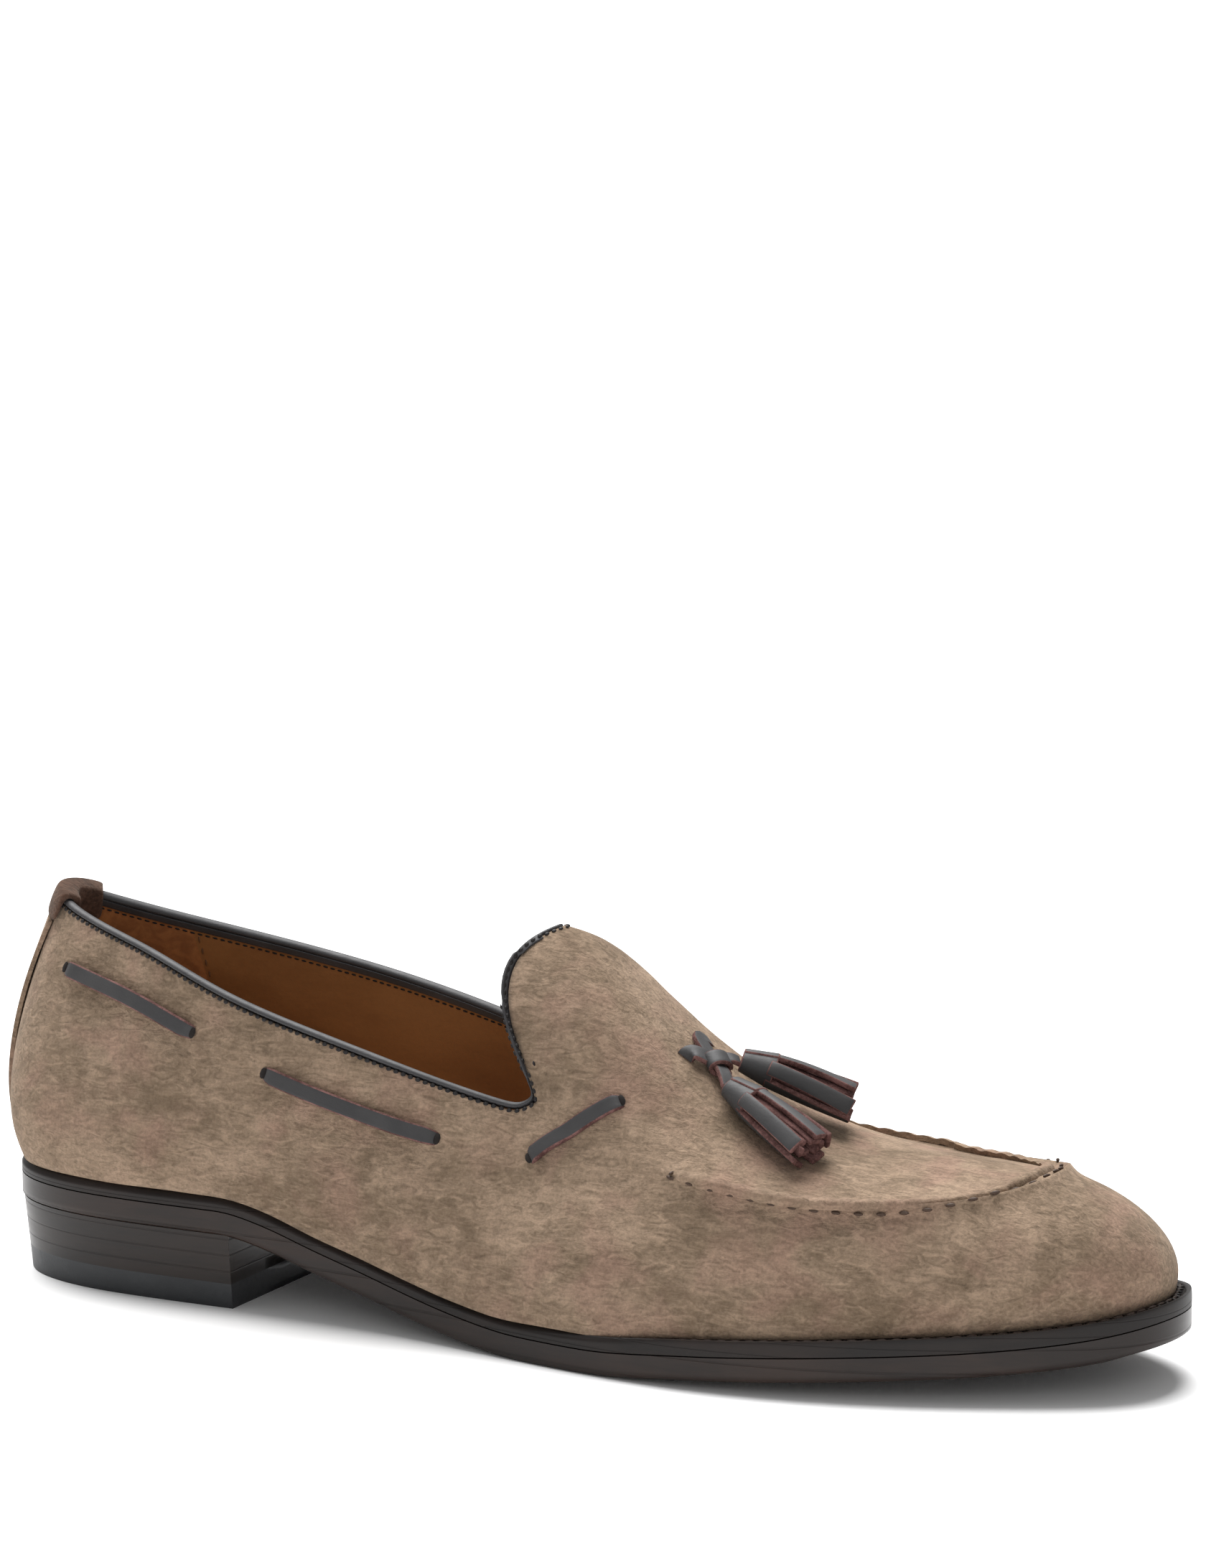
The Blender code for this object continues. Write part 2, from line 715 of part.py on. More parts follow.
def make_binding(skin, material):
    half = WALL / 2 + BINDING_EXTRA
    section = [
        (half, CLEARANCE),
        (half, CLEARANCE + BINDING_RISE * 0.55),
        (half * 0.5, CLEARANCE + BINDING_RISE),
        (-half * 0.5, CLEARANCE + BINDING_RISE),
        (-half, CLEARANCE + BINDING_RISE * 0.55),
        (-half, CLEARANCE),
    ]
    return rim_sweep("topline_binding", skin.collar(), section, material, closed=True)


def make_heel_tab(skin, material):
    """A fold of suede over the binding at the back of the heel."""
    collar = skin.collar()
    frames = collar[-TAB_COLUMNS:] + collar[:TAB_COLUMNS + 1]
    inside = WALL / 2 + BINDING_EXTRA + CLEARANCE
    outside = inside + TAB_THICKNESS
    under = 2 * CLEARANCE + BINDING_RISE
    over = under + TAB_THICKNESS
    turn = TAB_THICKNESS * 0.7
    section = [
        (inside, -TAB_DROP_OUTSIDE),
        (outside, -TAB_DROP_OUTSIDE),
        (outside, over - turn),
        (outside - turn, over),
        (turn - outside, over),
        (-outside, over - turn),
        (-outside, -TAB_DROP_INSIDE),
        (-inside, -TAB_DROP_INSIDE),
        (-inside, under),
        (inside, under),
    ]
    return rim_sweep("heel_tab", frames, section, material, closed=False)


def rib_at_width(side, width, t):
    """The rib whose point at t lies this far from the middle of the heel."""
    ribs = np.linspace(0, 3, 31)
    widths = [abs(wall_point(side, rib, t)[1]) for rib in ribs]
    return float(np.interp(width, widths, ribs))


def make_back_strip(material):
    """A strip over the back seam, from the welt to just under the tab."""
    rows = np.linspace(0.02, 0.925, 9)
    shares = (-1.0, -0.6, 0.0, 0.6, 1.0)
    points, faces = [], []
    for t in rows:
        frames = []
        for share in shares:
            side = LATERAL if share < 0 else MEDIAL
            frames.append(skin_frame(side, rib_at_width(side, abs(share) * BACK_STRIP_WIDTH / 2, t), t))
        points += [point + out * CLEARANCE for point, out in frames]
        points += [point + out * (CLEARANCE + BACK_STRIP_THICKNESS) for point, out in frames[::-1]]
    count = 2 * len(shares)
    for row in range(len(rows) - 1):
        faces += side_faces(row * count, (row + 1) * count, count)
    faces.append(list(range(count)))
    faces.append([(len(rows) - 1) * count + k for k in range(count)])
    return new_solid("back_strip", points, faces, material)


# The lace


def strap(name, side, places, material, stations=LACE_STATIONS, seat=CLEARANCE, dip=0.4):
    """A flat lace lying on the upper through (rib, t) places, thinner where it dips in.

    A t past 2 is over the ridge, on the other side of the shoe.
    """
    at = np.linspace(0, len(places) - 1, stations)
    ribs = spline([place[0] for place in places], at)
    heights = spline([place[1] for place in places], at)
    frames = [
        skin_frame(side, rib, t) if t <= 2 else skin_frame(-side, rib, 4 - t)
        for rib, t in zip(ribs, heights)
    ]
    centres = np.array([frame[0] for frame in frames])
    outs = np.array([frame[1] for frame in frames])
    alongs = np.gradient(centres, axis=0)
    points, faces = [], []
    for station in range(stations):
        out = unit(outs[station])
        across = unit(np.cross(out, alongs[station]))
        end = station in (0, stations - 1)
        tall = LACE_THICKNESS * (dip if end else 1)
        half = LACE_WIDTH / 2 * (0.8 if end else 1)
        base = centres[station] + out * seat
        section = [(-half, 0), (-half, 0.6), (-half * 0.7, 1), (half * 0.7, 1), (half, 0.6), (half, 0)]
        points += [base + across * s + out * tall * h for s, h in section]
    count = 6
    for station in range(stations - 1):
        faces += side_faces(station * count, (station + 1) * count, count)
    faces.append(list(range(count)))
    faces.append([(stations - 1) * count + k for k in range(count)])
    return new_solid(name, points, faces, material)


def make_lace_bars(material):
    for word, side in (("lateral", LATERAL), ("medial", MEDIAL)):
        for name, places in LACE_BARS.items():
            seat = FRONT_BAR_SEAT if name == "front" else CLEARANCE
            strap(f"lace_{name}_{word}", side, places, material, seat=seat)


def rounded_bar(name, start, end, width, thickness, upward, material):
    """A short bar with an eight-sided section between two points."""
    along = unit(end - start)
    across = unit(np.cross(upward, along))
    lift = np.cross(along, across)
    corners = [(1, 0.5), (0.6, 1), (-0.6, 1), (-1, 0.5), (-1, -0.5), (-0.6, -1), (0.6, -1), (1, -0.5)]
    points = []
    for centre, grow in ((start, 0.8), (start + along * width * 0.2, 1), (end - along * width * 0.2, 1), (end, 0.8)):
        points += [
            centre + across * s * width / 2 * grow + lift * h * thickness / 2 * grow for s, h in corners
        ]
    faces = []
    for ring in range(3):
        faces += side_faces(ring * 8, ring * 8 + 8, 8)
    faces += [list(range(8)), list(range(24, 32))]
    return new_solid(name, points, faces, material)


def join(base, pieces):
    """Fuses pieces onto a base with Booleans and keeps them out of the build."""
    for piece in pieces:
        piece.hide_render = True
        piece.display_type = "WIRE"
        fuse = base.modifiers.new("fuse " + piece.name, "BOOLEAN")
        fuse.operation = "UNION"
        fuse.solver = "EXACT"
        fuse.object = piece
    return base


def knot_middle():
    """The middle of the wrap, which lies on the ridge of the vamp, and the way out of the leather there."""
    centre, out = skin_frame(*KNOT_CENTRE)
    return centre + out * (CLEARANCE + KNOT_THICKNESS / 2), out


def make_lace_knot(material):
    """The lace over the ridge between its two slots, the wrap round it and the ends to the tassels."""
    base = strap("lace_knot", LATERAL, KNOT_STRAP, material, stations=11)
    middle, out = knot_middle()
    along = unit(np.cross(out, np.array([0.0, 1.0, 0.0])))
    pieces = [
        rounded_bar(
            "knot_wrap",
            middle - along * KNOT_WRAP_LENGTH / 2,
            middle + along * KNOT_WRAP_LENGTH / 2,
            KNOT_WIDTH, KNOT_THICKNESS, out, material,
        )
    ]
    for word, (start, end) in TASSELS.items():
        cap = middle + np.array(start) * TASSEL_LENGTH
        leave = unit(cap - middle)
        turn = np.linalg.norm(np.cross(leave, unit(np.array(end) - np.array(start))))
        stop = CLEARANCE * 2 + LACE_WIDTH * 0.4 * turn
        pieces.append(
            rounded_bar(
                "knot_end_" + word, middle, cap - leave * stop,
                LACE_WIDTH * 0.8, LACE_THICKNESS, out, material,
            )
        )
    return join(base, pieces)


def make_tassel(word, start, end, material):
    """A rolled cap that opens into a fan of cut strips, which stand apart at their ends."""
    middle, _ = knot_middle()
    start = middle + np.array(start) * TASSEL_LENGTH
    along = unit(middle + np.array(end) * TASSEL_LENGTH - start)
    across = unit(np.cross(np.array([0.0, 0.0, 1.0]), along))
    lift = np.cross(along, across)
    teeth = STRIPS_PER_TASSEL
    count = 4 * teeth
    points, faces = [], []
    for share, half_width, half_depth, cut in TASSEL_SECTIONS:
        for k in range(count):
            tooth, corner = divmod(k, 4)
            angle = 2 * pi * (tooth + (0.0, 0.12, 0.88, 1.0)[corner] * 0.97) / teeth
            groove = STRIP_GROOVE * cut if corner in (0, 3) else 0.0
            stagger = STRIP_STAGGER * cut * (-1) ** tooth if share == 1.0 else 0.0
            wide = half_width * CAP_RADIUS - groove
            deep = half_depth * CAP_RADIUS - groove * 0.5
            points.append(
                start
                + along * (share * TASSEL_LENGTH + stagger)
                + across * wide * cos(angle)
                + lift * deep * sin(angle)
            )
    rings = len(TASSEL_SECTIONS)
    for ring in range(rings - 1):
        faces += side_faces(ring * count, (ring + 1) * count, count)
    for ring, depth in ((0, 0.0), (rings - 1, TASSEL_LENGTH * 0.9)):
        hub = len(points)
        points.append(start + along * depth)
        faces += [(ring * count + k, ring * count + (k + 1) % count, hub) for k in range(count)]
    return new_solid("tassel_" + word, points, faces, material)


def clear_scene():
    for thing in list(bpy.data.objects):
        bpy.data.objects.remove(thing, do_unlink=True)


def main():
    clear_scene()
    suede = new_material("taupe suede", (0.19, 0.13, 0.095), 0.95)
    tab_suede = new_material("dark brown suede", (0.06, 0.035, 0.022), 0.95)
    edge = new_material("dark sole edge", (0.018, 0.012, 0.010), 0.45)
    lift_rubber = new_material("lift rubber", (0.012, 0.012, 0.014), 0.6)
    welt_leather = new_material("welt leather", (0.022, 0.014, 0.011), 0.5)
    insole_leather = new_material("insole leather", (0.28, 0.13, 0.05), 0.55)
    dark_leather = new_material("dark leather", (0.035, 0.035, 0.038), 0.6)
    make_outsole(edge)
    make_welt(welt_leather)
    make_insole(insole_leather)
    make_heel(edge, lift_rubber)
    skin = Skin()
    make_upper(skin, suede)
    make_binding(skin, dark_leather)
    make_back_strip(suede)
    make_heel_tab(skin, tab_suede)
    make_lace_bars(dark_leather)
    make_lace_knot(dark_leather)
    for word, (start, end) in TASSELS.items():
        make_tassel(word, start, end, dark_leather)


main()
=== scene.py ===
"""A right tassel loafer in taupe suede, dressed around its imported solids.

+X runs to the toe, +Y to the inner side of the foot and +Z up. All lengths are in metres.
"""

import json
import logging
import math
from dataclasses import dataclass, field
from enum import Enum
from typing import Optional, Sequence, Union

import bmesh
import bpy
import numpy as np
from mathutils import Matrix, Vector, noise
from mathutils.bvhtree import BVHTree

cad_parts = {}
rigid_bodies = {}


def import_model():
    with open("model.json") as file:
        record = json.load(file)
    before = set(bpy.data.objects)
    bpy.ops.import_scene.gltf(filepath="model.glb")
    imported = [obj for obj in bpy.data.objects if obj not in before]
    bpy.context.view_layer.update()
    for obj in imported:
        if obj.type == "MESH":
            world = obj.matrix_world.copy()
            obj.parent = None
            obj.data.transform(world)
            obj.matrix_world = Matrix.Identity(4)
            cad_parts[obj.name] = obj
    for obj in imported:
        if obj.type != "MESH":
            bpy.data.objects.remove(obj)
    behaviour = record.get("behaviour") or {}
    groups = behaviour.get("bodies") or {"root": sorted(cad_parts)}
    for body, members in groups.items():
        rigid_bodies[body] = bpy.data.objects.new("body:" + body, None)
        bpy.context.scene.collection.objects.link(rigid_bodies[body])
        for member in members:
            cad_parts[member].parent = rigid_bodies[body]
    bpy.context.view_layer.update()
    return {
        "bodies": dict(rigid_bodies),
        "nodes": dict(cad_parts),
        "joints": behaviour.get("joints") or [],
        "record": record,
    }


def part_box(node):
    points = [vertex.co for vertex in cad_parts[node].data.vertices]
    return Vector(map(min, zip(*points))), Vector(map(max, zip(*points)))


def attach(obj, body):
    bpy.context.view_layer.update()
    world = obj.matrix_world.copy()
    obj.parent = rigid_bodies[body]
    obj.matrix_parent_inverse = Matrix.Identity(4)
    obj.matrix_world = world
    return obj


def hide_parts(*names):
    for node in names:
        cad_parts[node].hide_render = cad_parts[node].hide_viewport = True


LOG = logging.getLogger("loafer")
BODY = "root"
MERGE_DISTANCE = 2e-6
QUAD_FACE_ANGLE = math.radians(50)
QUAD_SHAPE_ANGLE = math.radians(60)
STRAP_CORNER_ANGLE = math.radians(50)

Colour = tuple[float, float, float]
Point = tuple[float, float, float]
Size = tuple[float, float, float]
Path = list[Vector]
Nodes = dict[str, bpy.types.Object]


class Side(Enum):
    """The two sides of the shoe, with the sign of their Y."""

    LATERAL = -1
    MEDIAL = 1


# Shader maths


class Wire:
    """One value in a material's node tree, which adds Math nodes as it is used in sums."""

    def __init__(self, shader: "Shader", socket: bpy.types.NodeSocket) -> None:
        """Keeps the shader and the output socket that gives the value."""
        self.shader = shader
        self.socket = socket

    def _join(self, operation: str, left: "Value", right: "Value") -> "Wire":
        """Adds a Math node with the given operation and returns its result."""
        node = self.shader.add("ShaderNodeMath", {"operation": operation}, {0: left, 1: right})
        return self.shader.wire(node, 0)

    def __add__(self, other: "Value") -> "Wire":
        """self + other."""
        return self._join("ADD", self, other)

    __radd__ = __add__

    def __mul__(self, other: "Value") -> "Wire":
        """self * other."""
        return self._join("MULTIPLY", self, other)

    __rmul__ = __mul__

    def __sub__(self, other: "Value") -> "Wire":
        """self - other."""
        return self._join("SUBTRACT", self, other)

    def __rsub__(self, other: "Value") -> "Wire":
        """other - self."""
        return self._join("SUBTRACT", other, self)


Value = Union[Wire, float]


class Shader:
    """A material with one Principled shader, fed by expressions."""

    def __init__(self, name: str, constants: dict[str, object]) -> None:
        """Makes the material and sets what is the same all over its surface.

        Args:
            name: the material's name.
            constants: values for the Principled shader's own sockets.
        """
        self.material = bpy.data.materials.new(name)
        self.material.use_nodes = True
        self.tree = self.material.node_tree
        self.tree.nodes.clear()
        self.skin = self.add("ShaderNodeBsdfPrincipled", {}, constants)
        output = self.add("ShaderNodeOutputMaterial", {}, {})
        self.tree.links.new(self.skin.outputs["BSDF"], output.inputs["Surface"])
        self.place = self.wire(self.add("ShaderNodeTexCoord", {}, {}), "Object")

    def add(self, kind: str, settings: dict[str, object], sockets: dict) -> bpy.types.Node:
        """Adds a node, sets it and feeds its sockets.

        Args:
            kind: the node's type.
            settings: its own properties, set first.
            sockets: a value or a Wire for each input, by name or number.

        Returns:
            The new node.
        """
        node = self.tree.nodes.new(kind)
        for name, value in settings.items():
            setattr(node, name, value)
        for name, value in sockets.items():
            self.feed(node.inputs[name], value)
        return node

    def feed(self, socket: bpy.types.NodeSocket, value: object) -> None:
        """Links a Wire to the socket, or sets the socket's own value.

        Args:
            socket: an input of a node.
            value: a Wire, or a value for the socket itself.
        """
        if isinstance(value, Wire):
            self.tree.links.new(value.socket, socket)
        else:
            socket.default_value = value

    def wire(self, node: bpy.types.Node, output: Union[str, int]) -> Wire:
        """One output of a node as a Wire."""
        return Wire(self, node.outputs[output])

    def noise(
        self, size: float, detail: float = 2.0, rough: float = 0.5,
        stretch: Colour = (1.0, 1.0, 1.0), shift: float = 0.0, twist: float = 0.0,
    ) -> Wire:
        """Cloudy noise from 0 to 1.

        Args:
            size: the size of its largest features, in metres.
            detail: octaves of smaller features.
            rough: how strong the smaller features are.
            stretch: how much longer the features are along each axis.
            shift: moves the pattern, in metres.
            twist: bends the pattern.

        Returns:
            The noise.
        """
        mapped = self.add(
            "ShaderNodeMapping", {},
            {
                "Vector": self.place, "Location": (shift,) * 3,
                "Scale": tuple(1 / s for s in stretch),
            },
        )
        node = self.add(
            "ShaderNodeTexNoise", {},
            {
                "Vector": self.wire(mapped, 0), "Scale": 1 / size, "Detail": detail,
                "Roughness": rough, "Distortion": twist,
            },
        )
        return self.wire(node, 0)

    def ramp(self, value: Wire, low: float, high: float) -> Wire:
        """A soft step: 0 below low and 1 above high."""
        node = self.add(
            "ShaderNodeMapRange", {"interpolation_type": "SMOOTHSTEP"},
            {"Value": value, "From Min": low, "From Max": high},
        )
        return self.wire(node, 0)

    def mix(self, share: Value, low: object, high: object) -> Wire:
        """Mixes two colours.

        Args:
            share: how much of the second colour there is, from 0 to 1.
            low: the colour where share is 0.
            high: the colour where share is 1.

        Returns:
            The mixed colour.
        """
        node = self.add("ShaderNodeMix", {"data_type": "RGBA"}, {0: share})
        for index, colour in ((6, low), (7, high)):
            self.feed(node.inputs[index], colour if isinstance(colour, Wire) else (*colour, 1.0))
        return self.wire(node, 2)

    def tone(self, colour: Wire, gain: Wire) -> Wire:
        """A colour made lighter or darker by a factor."""
        node = self.add("ShaderNodeVectorMath", {"operation": "SCALE"}, {0: colour, "Scale": gain})
        return self.wire(node, 0)

    def axis(self, letter: str) -> Wire:
        """One coordinate of the surface, in metres."""
        return self.wire(self.add("ShaderNodeSeparateXYZ", {}, {0: self.place}), letter)

    def dress(
        self, colour: Wire, roughness: Optional[Wire], height: Wire, depth: float,
    ) -> bpy.types.Material:
        """Feeds the shader and returns its material.

        Args:
            colour: the base colour.
            roughness: the roughness where it varies.
            height: a relief from 0 to 1.
            depth: the relief's real depth in metres.

        Returns:
            The finished material.
        """
        self.feed(self.skin.inputs["Base Color"], colour)
        if roughness is not None:
            self.feed(self.skin.inputs["Roughness"], roughness)
        bump = self.add("ShaderNodeBump", {}, {"Height": height, "Distance": depth})
        self.feed(self.skin.inputs["Normal"], self.wire(bump, 0))
        return self.material


# Finishes


@dataclass(frozen=True)
class Suede:
    """Napped leather: soft patches where the nap lies either way, streaks and a fine grain."""

    light: Colour
    dark: Colour
    warm: Colour
    patch_size: float = 0.026
    cloud_size: float = 0.0075
    streak_size: float = 0.0021
    grain_size: float = 0.00075
    nap_depth: float = 0.0005
    contrast: float = 1.0

    def material(self, name: str) -> bpy.types.Material:
        """The suede as a material.

        Args:
            name: the material's name.

        Returns:
            The material.
        """
        shader = Shader(
            name,
            {
                "Roughness": 0.96, "Specular IOR Level": 0.10, "Sheen Weight": 0.08,
                "Sheen Roughness": 0.6, "Sheen Tint": (1.0, 0.90, 0.78, 1.0),
            },
        )
        patches = shader.noise(
            self.patch_size, rough=0.45, stretch=(1.5, 1.0, 0.85), shift=0.031, twist=0.8,
        )
        clouds = shader.noise(
            self.cloud_size, detail=3.0, rough=0.55, stretch=(1.3, 1.0, 0.9),
            shift=0.17, twist=1.1,
        )
        hue = shader.noise(self.patch_size * 0.6, shift=0.43, twist=0.5)
        streaks = shader.noise(
            self.streak_size, detail=3.0, rough=0.6, stretch=(2.6, 1.0, 0.8),
            shift=0.05, twist=1.6,
        )
        grain = shader.noise(self.grain_size, rough=0.7)
        nap = shader.ramp(patches * 0.42 + clouds * 0.36 + streaks * 0.22, 0.36, 0.64)
        body = shader.mix(nap, self.dark, self.light)
        tinted = shader.mix(shader.ramp(hue, 0.45, 0.75) * 0.55, body, self.warm)
        gain = 1.0 + ((streaks - 0.5) * 1.0 + (grain - 0.5) * 0.9) * self.contrast
        height = streaks * 0.55 + grain * 0.35 + clouds * 0.6
        return shader.dress(shader.tone(tinted, gain), None, height, self.nap_depth)


@dataclass(frozen=True)
class SmoothLeather:
    """Smooth dyed leather with fine pores, faint wrinkles and a soft gloss."""

    colour: Colour
    worn: Colour
    roughness: float = 0.42
    wrinkle_size: float = 0.0022
    pore_size: float = 0.0004
    depth: float = 0.00009

    def material(self, name: str) -> bpy.types.Material:
        """The leather as a material.

        Args:
            name: the material's name.

        Returns:
            The material.
        """
        shader = Shader(name, {"Specular IOR Level": 0.45})
        wrinkles = shader.noise(
            self.wrinkle_size, detail=3.0, rough=0.55, stretch=(1.6, 1.0, 1.0),
            shift=0.02, twist=0.7,
        )
        pores = shader.noise(self.pore_size, rough=0.6)
        tone = shader.noise(0.012, shift=0.3)
        colour = shader.mix(shader.ramp(tone, 0.35, 0.75) * 0.7, self.colour, self.worn)
        rough = self.roughness + (wrinkles - 0.5) * 0.16
        return shader.dress(colour, rough, wrinkles * 0.7 + pores * 0.3, self.depth)


@dataclass(frozen=True)
class RawLeather:
    """The flesh side and cut edges of leather: fibrous and matte."""

    colour: Colour
    deep: Colour
    fibre_size: float = 0.0007
    depth: float = 0.00016

    def material(self, name: str) -> bpy.types.Material:
        """The raw leather as a material.

        Args:
            name: the material's name.

        Returns:
            The material.
        """
        shader = Shader(name, {"Roughness": 0.9, "Specular IOR Level": 0.15})
        fibres = shader.noise(self.fibre_size, detail=3.0, rough=0.65, shift=0.09, twist=1.0)
        tone = shader.noise(0.004, shift=0.5)
        share = shader.ramp(tone * 0.5 + fibres * 0.5, 0.35, 0.66)
        colour = shader.mix(share, self.deep, self.colour)
        return shader.dress(colour, None, fibres, self.depth)


@dataclass(frozen=True)
class Lining:
    """Tan lining leather with a darker suede grip round the heel, up to a stitched edge."""

    tan: Colour
    tan_deep: Colour
    grip: Colour
    grip_deep: Colour
    grip_edge: float
    grip_lean: float
    edge_blur: float = 0.00025

    def material(self, name: str) -> bpy.types.Material:
        """The lining as a material.

        Args:
            name: the material's name.

        Returns:
            The material.
        """
        shader = Shader(name, {"Specular IOR Level": 0.35})
        tone = shader.noise(0.02, detail=3.0, stretch=(1.8, 1.0, 1.0), shift=0.2, twist=0.4)
        grain = shader.noise(0.0012, detail=3.0, rough=0.55, stretch=(1.3, 1.0, 1.0), shift=0.1)
        nap = shader.noise(
            0.0045, detail=3.0, rough=0.6, stretch=(1.4, 1.0, 1.0), shift=0.33, twist=1.0,
        )
        edge = shader.axis("X") + shader.axis("Z") * self.grip_lean
        smooth = shader.ramp(edge, self.grip_edge - self.edge_blur, self.grip_edge + self.edge_blur)
        leather = shader.mix(shader.ramp(tone, 0.3, 0.7), self.tan_deep, self.tan)
        heel = shader.mix(shader.ramp(nap, 0.35, 0.68), self.grip_deep, self.grip)
        gain = 1.0 + (grain - 0.5) * 0.14
        colour = shader.tone(shader.mix(smooth, heel, leather), gain)
        rough = 0.92 - smooth * 0.40
        return shader.dress(colour, rough, grain * 0.6 + nap * 0.4, 0.00012)


@dataclass(frozen=True)
class SoleLeather:
    """A stained and waxed leather edge, with the faint lines of its layers."""

    colour: Colour
    brown: Colour
    layer: float
    roughness: float = 0.34
    line_depth: float = 0.00007

    def material(self, name: str) -> bpy.types.Material:
        """The waxed edge as a material.

        Args:
            name: the material's name.

        Returns:
            The material.
        """
        shader = Shader(
            name, {"Specular IOR Level": 0.26, "Coat Weight": 0.02, "Coat Roughness": 0.3}
        )
        streaks = shader.noise(
            0.004, detail=3.0, rough=0.55, stretch=(6.0, 6.0, 0.6), shift=0.07, twist=0.3,
        )
        stain = shader.noise(0.022, detail=3.0, stretch=(2.0, 2.0, 0.8), shift=0.21, twist=0.5)
        scuffs = shader.noise(0.0016, stretch=(3.0, 3.0, 0.8), shift=0.11)
        turn = shader.axis("Z") * (2 * math.pi / self.layer)
        wave = shader.wire(shader.add("ShaderNodeMath", {"operation": "SINE"}, {0: turn}), 0)
        lines = shader.ramp(wave, 0.93, 1.0)
        share = shader.ramp(stain * 0.6 + streaks * 0.4, 0.38, 0.66)
        colour = shader.mix(share, self.colour, self.brown)
        toned = shader.tone(colour, 1.0 - lines * 0.22)
        rough = self.roughness + (streaks - 0.5) * 0.2 + lines * 0.1
        height = streaks * 0.5 + scuffs * 0.3 - lines * 0.6
        return shader.dress(toned, rough, height, self.line_depth)


@dataclass(frozen=True)
class Thread:
    """Waxed sewing thread."""

    colour: Colour
    roughness: float = 0.6

    def material(self, name: str) -> bpy.types.Material:
        """The thread as a material.

        Args:
            name: the material's name.

        Returns:
            The material.
        """
        shader = Shader(name, {"Specular IOR Level": 0.3})
        ply = shader.noise(0.0003, shift=0.02)
        colour = shader.tone(shader.mix(0.0, self.colour, self.colour), 0.8 + ply * 0.4)
        return shader.dress(colour, self.roughness + (ply - 0.5) * 0.1, ply, 0.00005)


@dataclass(frozen=True)
class StudioPaper:
    """The plain pale floor under the shoe."""

    colour: Colour = (0.93, 0.93, 0.93)

    def material(self, name: str) -> bpy.types.Material:
        """The paper as a material.

        Args:
            name: the material's name.

        Returns:
            The material.
        """
        shader = Shader(name, {"Specular IOR Level": 0.0, "Roughness": 1.0})
        fibres = shader.noise(0.004)
        colour = shader.tone(shader.mix(0.0, self.colour, self.colour), 0.995 + fibres * 0.01)
        return shader.dress(colour, None, fibres, 0.00001)


@dataclass
class Wardrobe:
    """Every finish of the shoe, made once."""

    suede: bpy.types.Material = field(init=False)
    tab_suede: bpy.types.Material = field(init=False)
    strap: bpy.types.Material = field(init=False)
    binding: bpy.types.Material = field(init=False)
    raw_edge: bpy.types.Material = field(init=False)
    lining: bpy.types.Material = field(init=False)
    insole: bpy.types.Material = field(init=False)
    sole_edge: bpy.types.Material = field(init=False)
    heel_edge: bpy.types.Material = field(init=False)
    welt: bpy.types.Material = field(init=False)
    lift: bpy.types.Material = field(init=False)
    dark_thread: bpy.types.Material = field(init=False)
    brown_thread: bpy.types.Material = field(init=False)
    seam_thread: bpy.types.Material = field(init=False)
    tan_thread: bpy.types.Material = field(init=False)
    # painted shadow: the dark matte finish of the blobs that stand for the shade inside the lace
    # slits
    slit_shadow: bpy.types.Material = field(init=False)

    def __post_init__(self) -> None:
        """Makes the materials."""
        taupe = Suede((0.268, 0.192, 0.134), (0.150, 0.106, 0.070), (0.248, 0.152, 0.114))
        self.suede = taupe.material("taupe_suede")
        dark = Suede(
            (0.086, 0.048, 0.033), (0.042, 0.023, 0.016), (0.074, 0.038, 0.026),
            patch_size=0.012, cloud_size=0.004,
        )
        self.tab_suede = dark.material("dark_brown_suede")
        slate = SmoothLeather((0.026, 0.025, 0.026), (0.044, 0.042, 0.042), roughness=0.62)
        self.strap = slate.material("slate_leather")
        bead = SmoothLeather(
            (0.026, 0.025, 0.027), (0.046, 0.044, 0.046), roughness=0.60, wrinkle_size=0.0016,
        )
        self.binding = bead.material("binding_leather")
        flesh = RawLeather((0.200, 0.104, 0.094), (0.066, 0.030, 0.027))
        self.raw_edge = flesh.material("raw_leather_edge")
        lined = Lining(
            tan=(0.270, 0.122, 0.041), tan_deep=(0.190, 0.079, 0.025),
            grip=(0.350, 0.145, 0.049), grip_deep=(0.240, 0.094, 0.031),
            grip_edge=0.0060, grip_lean=0.10,
        )
        self.lining = lined.material("tan_lining")
        sock = SmoothLeather(
            (0.380, 0.205, 0.090), (0.470, 0.270, 0.125),
            roughness=0.55, wrinkle_size=0.004, pore_size=0.0006,
        )
        self.insole = sock.material("tan_insole_leather")
        sole = SoleLeather((0.0110, 0.0062, 0.0046), (0.0255, 0.0145, 0.0105), layer=0.0058)
        self.sole_edge = sole.material("sole_edge")
        heel = SoleLeather((0.0100, 0.0070, 0.0060), (0.0200, 0.0135, 0.0110), layer=0.0040)
        self.heel_edge = heel.material("heel_edge")
        ledge = SoleLeather(
            (0.0070, 0.0048, 0.0040), (0.0170, 0.0110, 0.0090), layer=0.0030, roughness=0.5,
        )
        self.welt = ledge.material("welt_leather")
        rubber = SmoothLeather(
            (0.013, 0.0145, 0.017), (0.020, 0.022, 0.025), roughness=0.5, wrinkle_size=0.003,
        )
        self.lift = rubber.material("lift_rubber")
        self.dark_thread = Thread((0.010, 0.008, 0.008)).material("dark_thread")
        self.brown_thread = Thread((0.034, 0.020, 0.014)).material("brown_thread")
        self.seam_thread = Thread((0.055, 0.032, 0.021)).material("seam_thread")
        self.tan_thread = Thread((0.120, 0.055, 0.022)).material("tan_thread")
        # Painted shadow: a near-black matte finish, made with the thread finish, for the blobs at
        # the lace bars' ends that stand for the shade inside the slits.
        self.slit_shadow = Thread((0.012, 0.009, 0.008), roughness=0.9).material("hole_shadow")


# Bench work


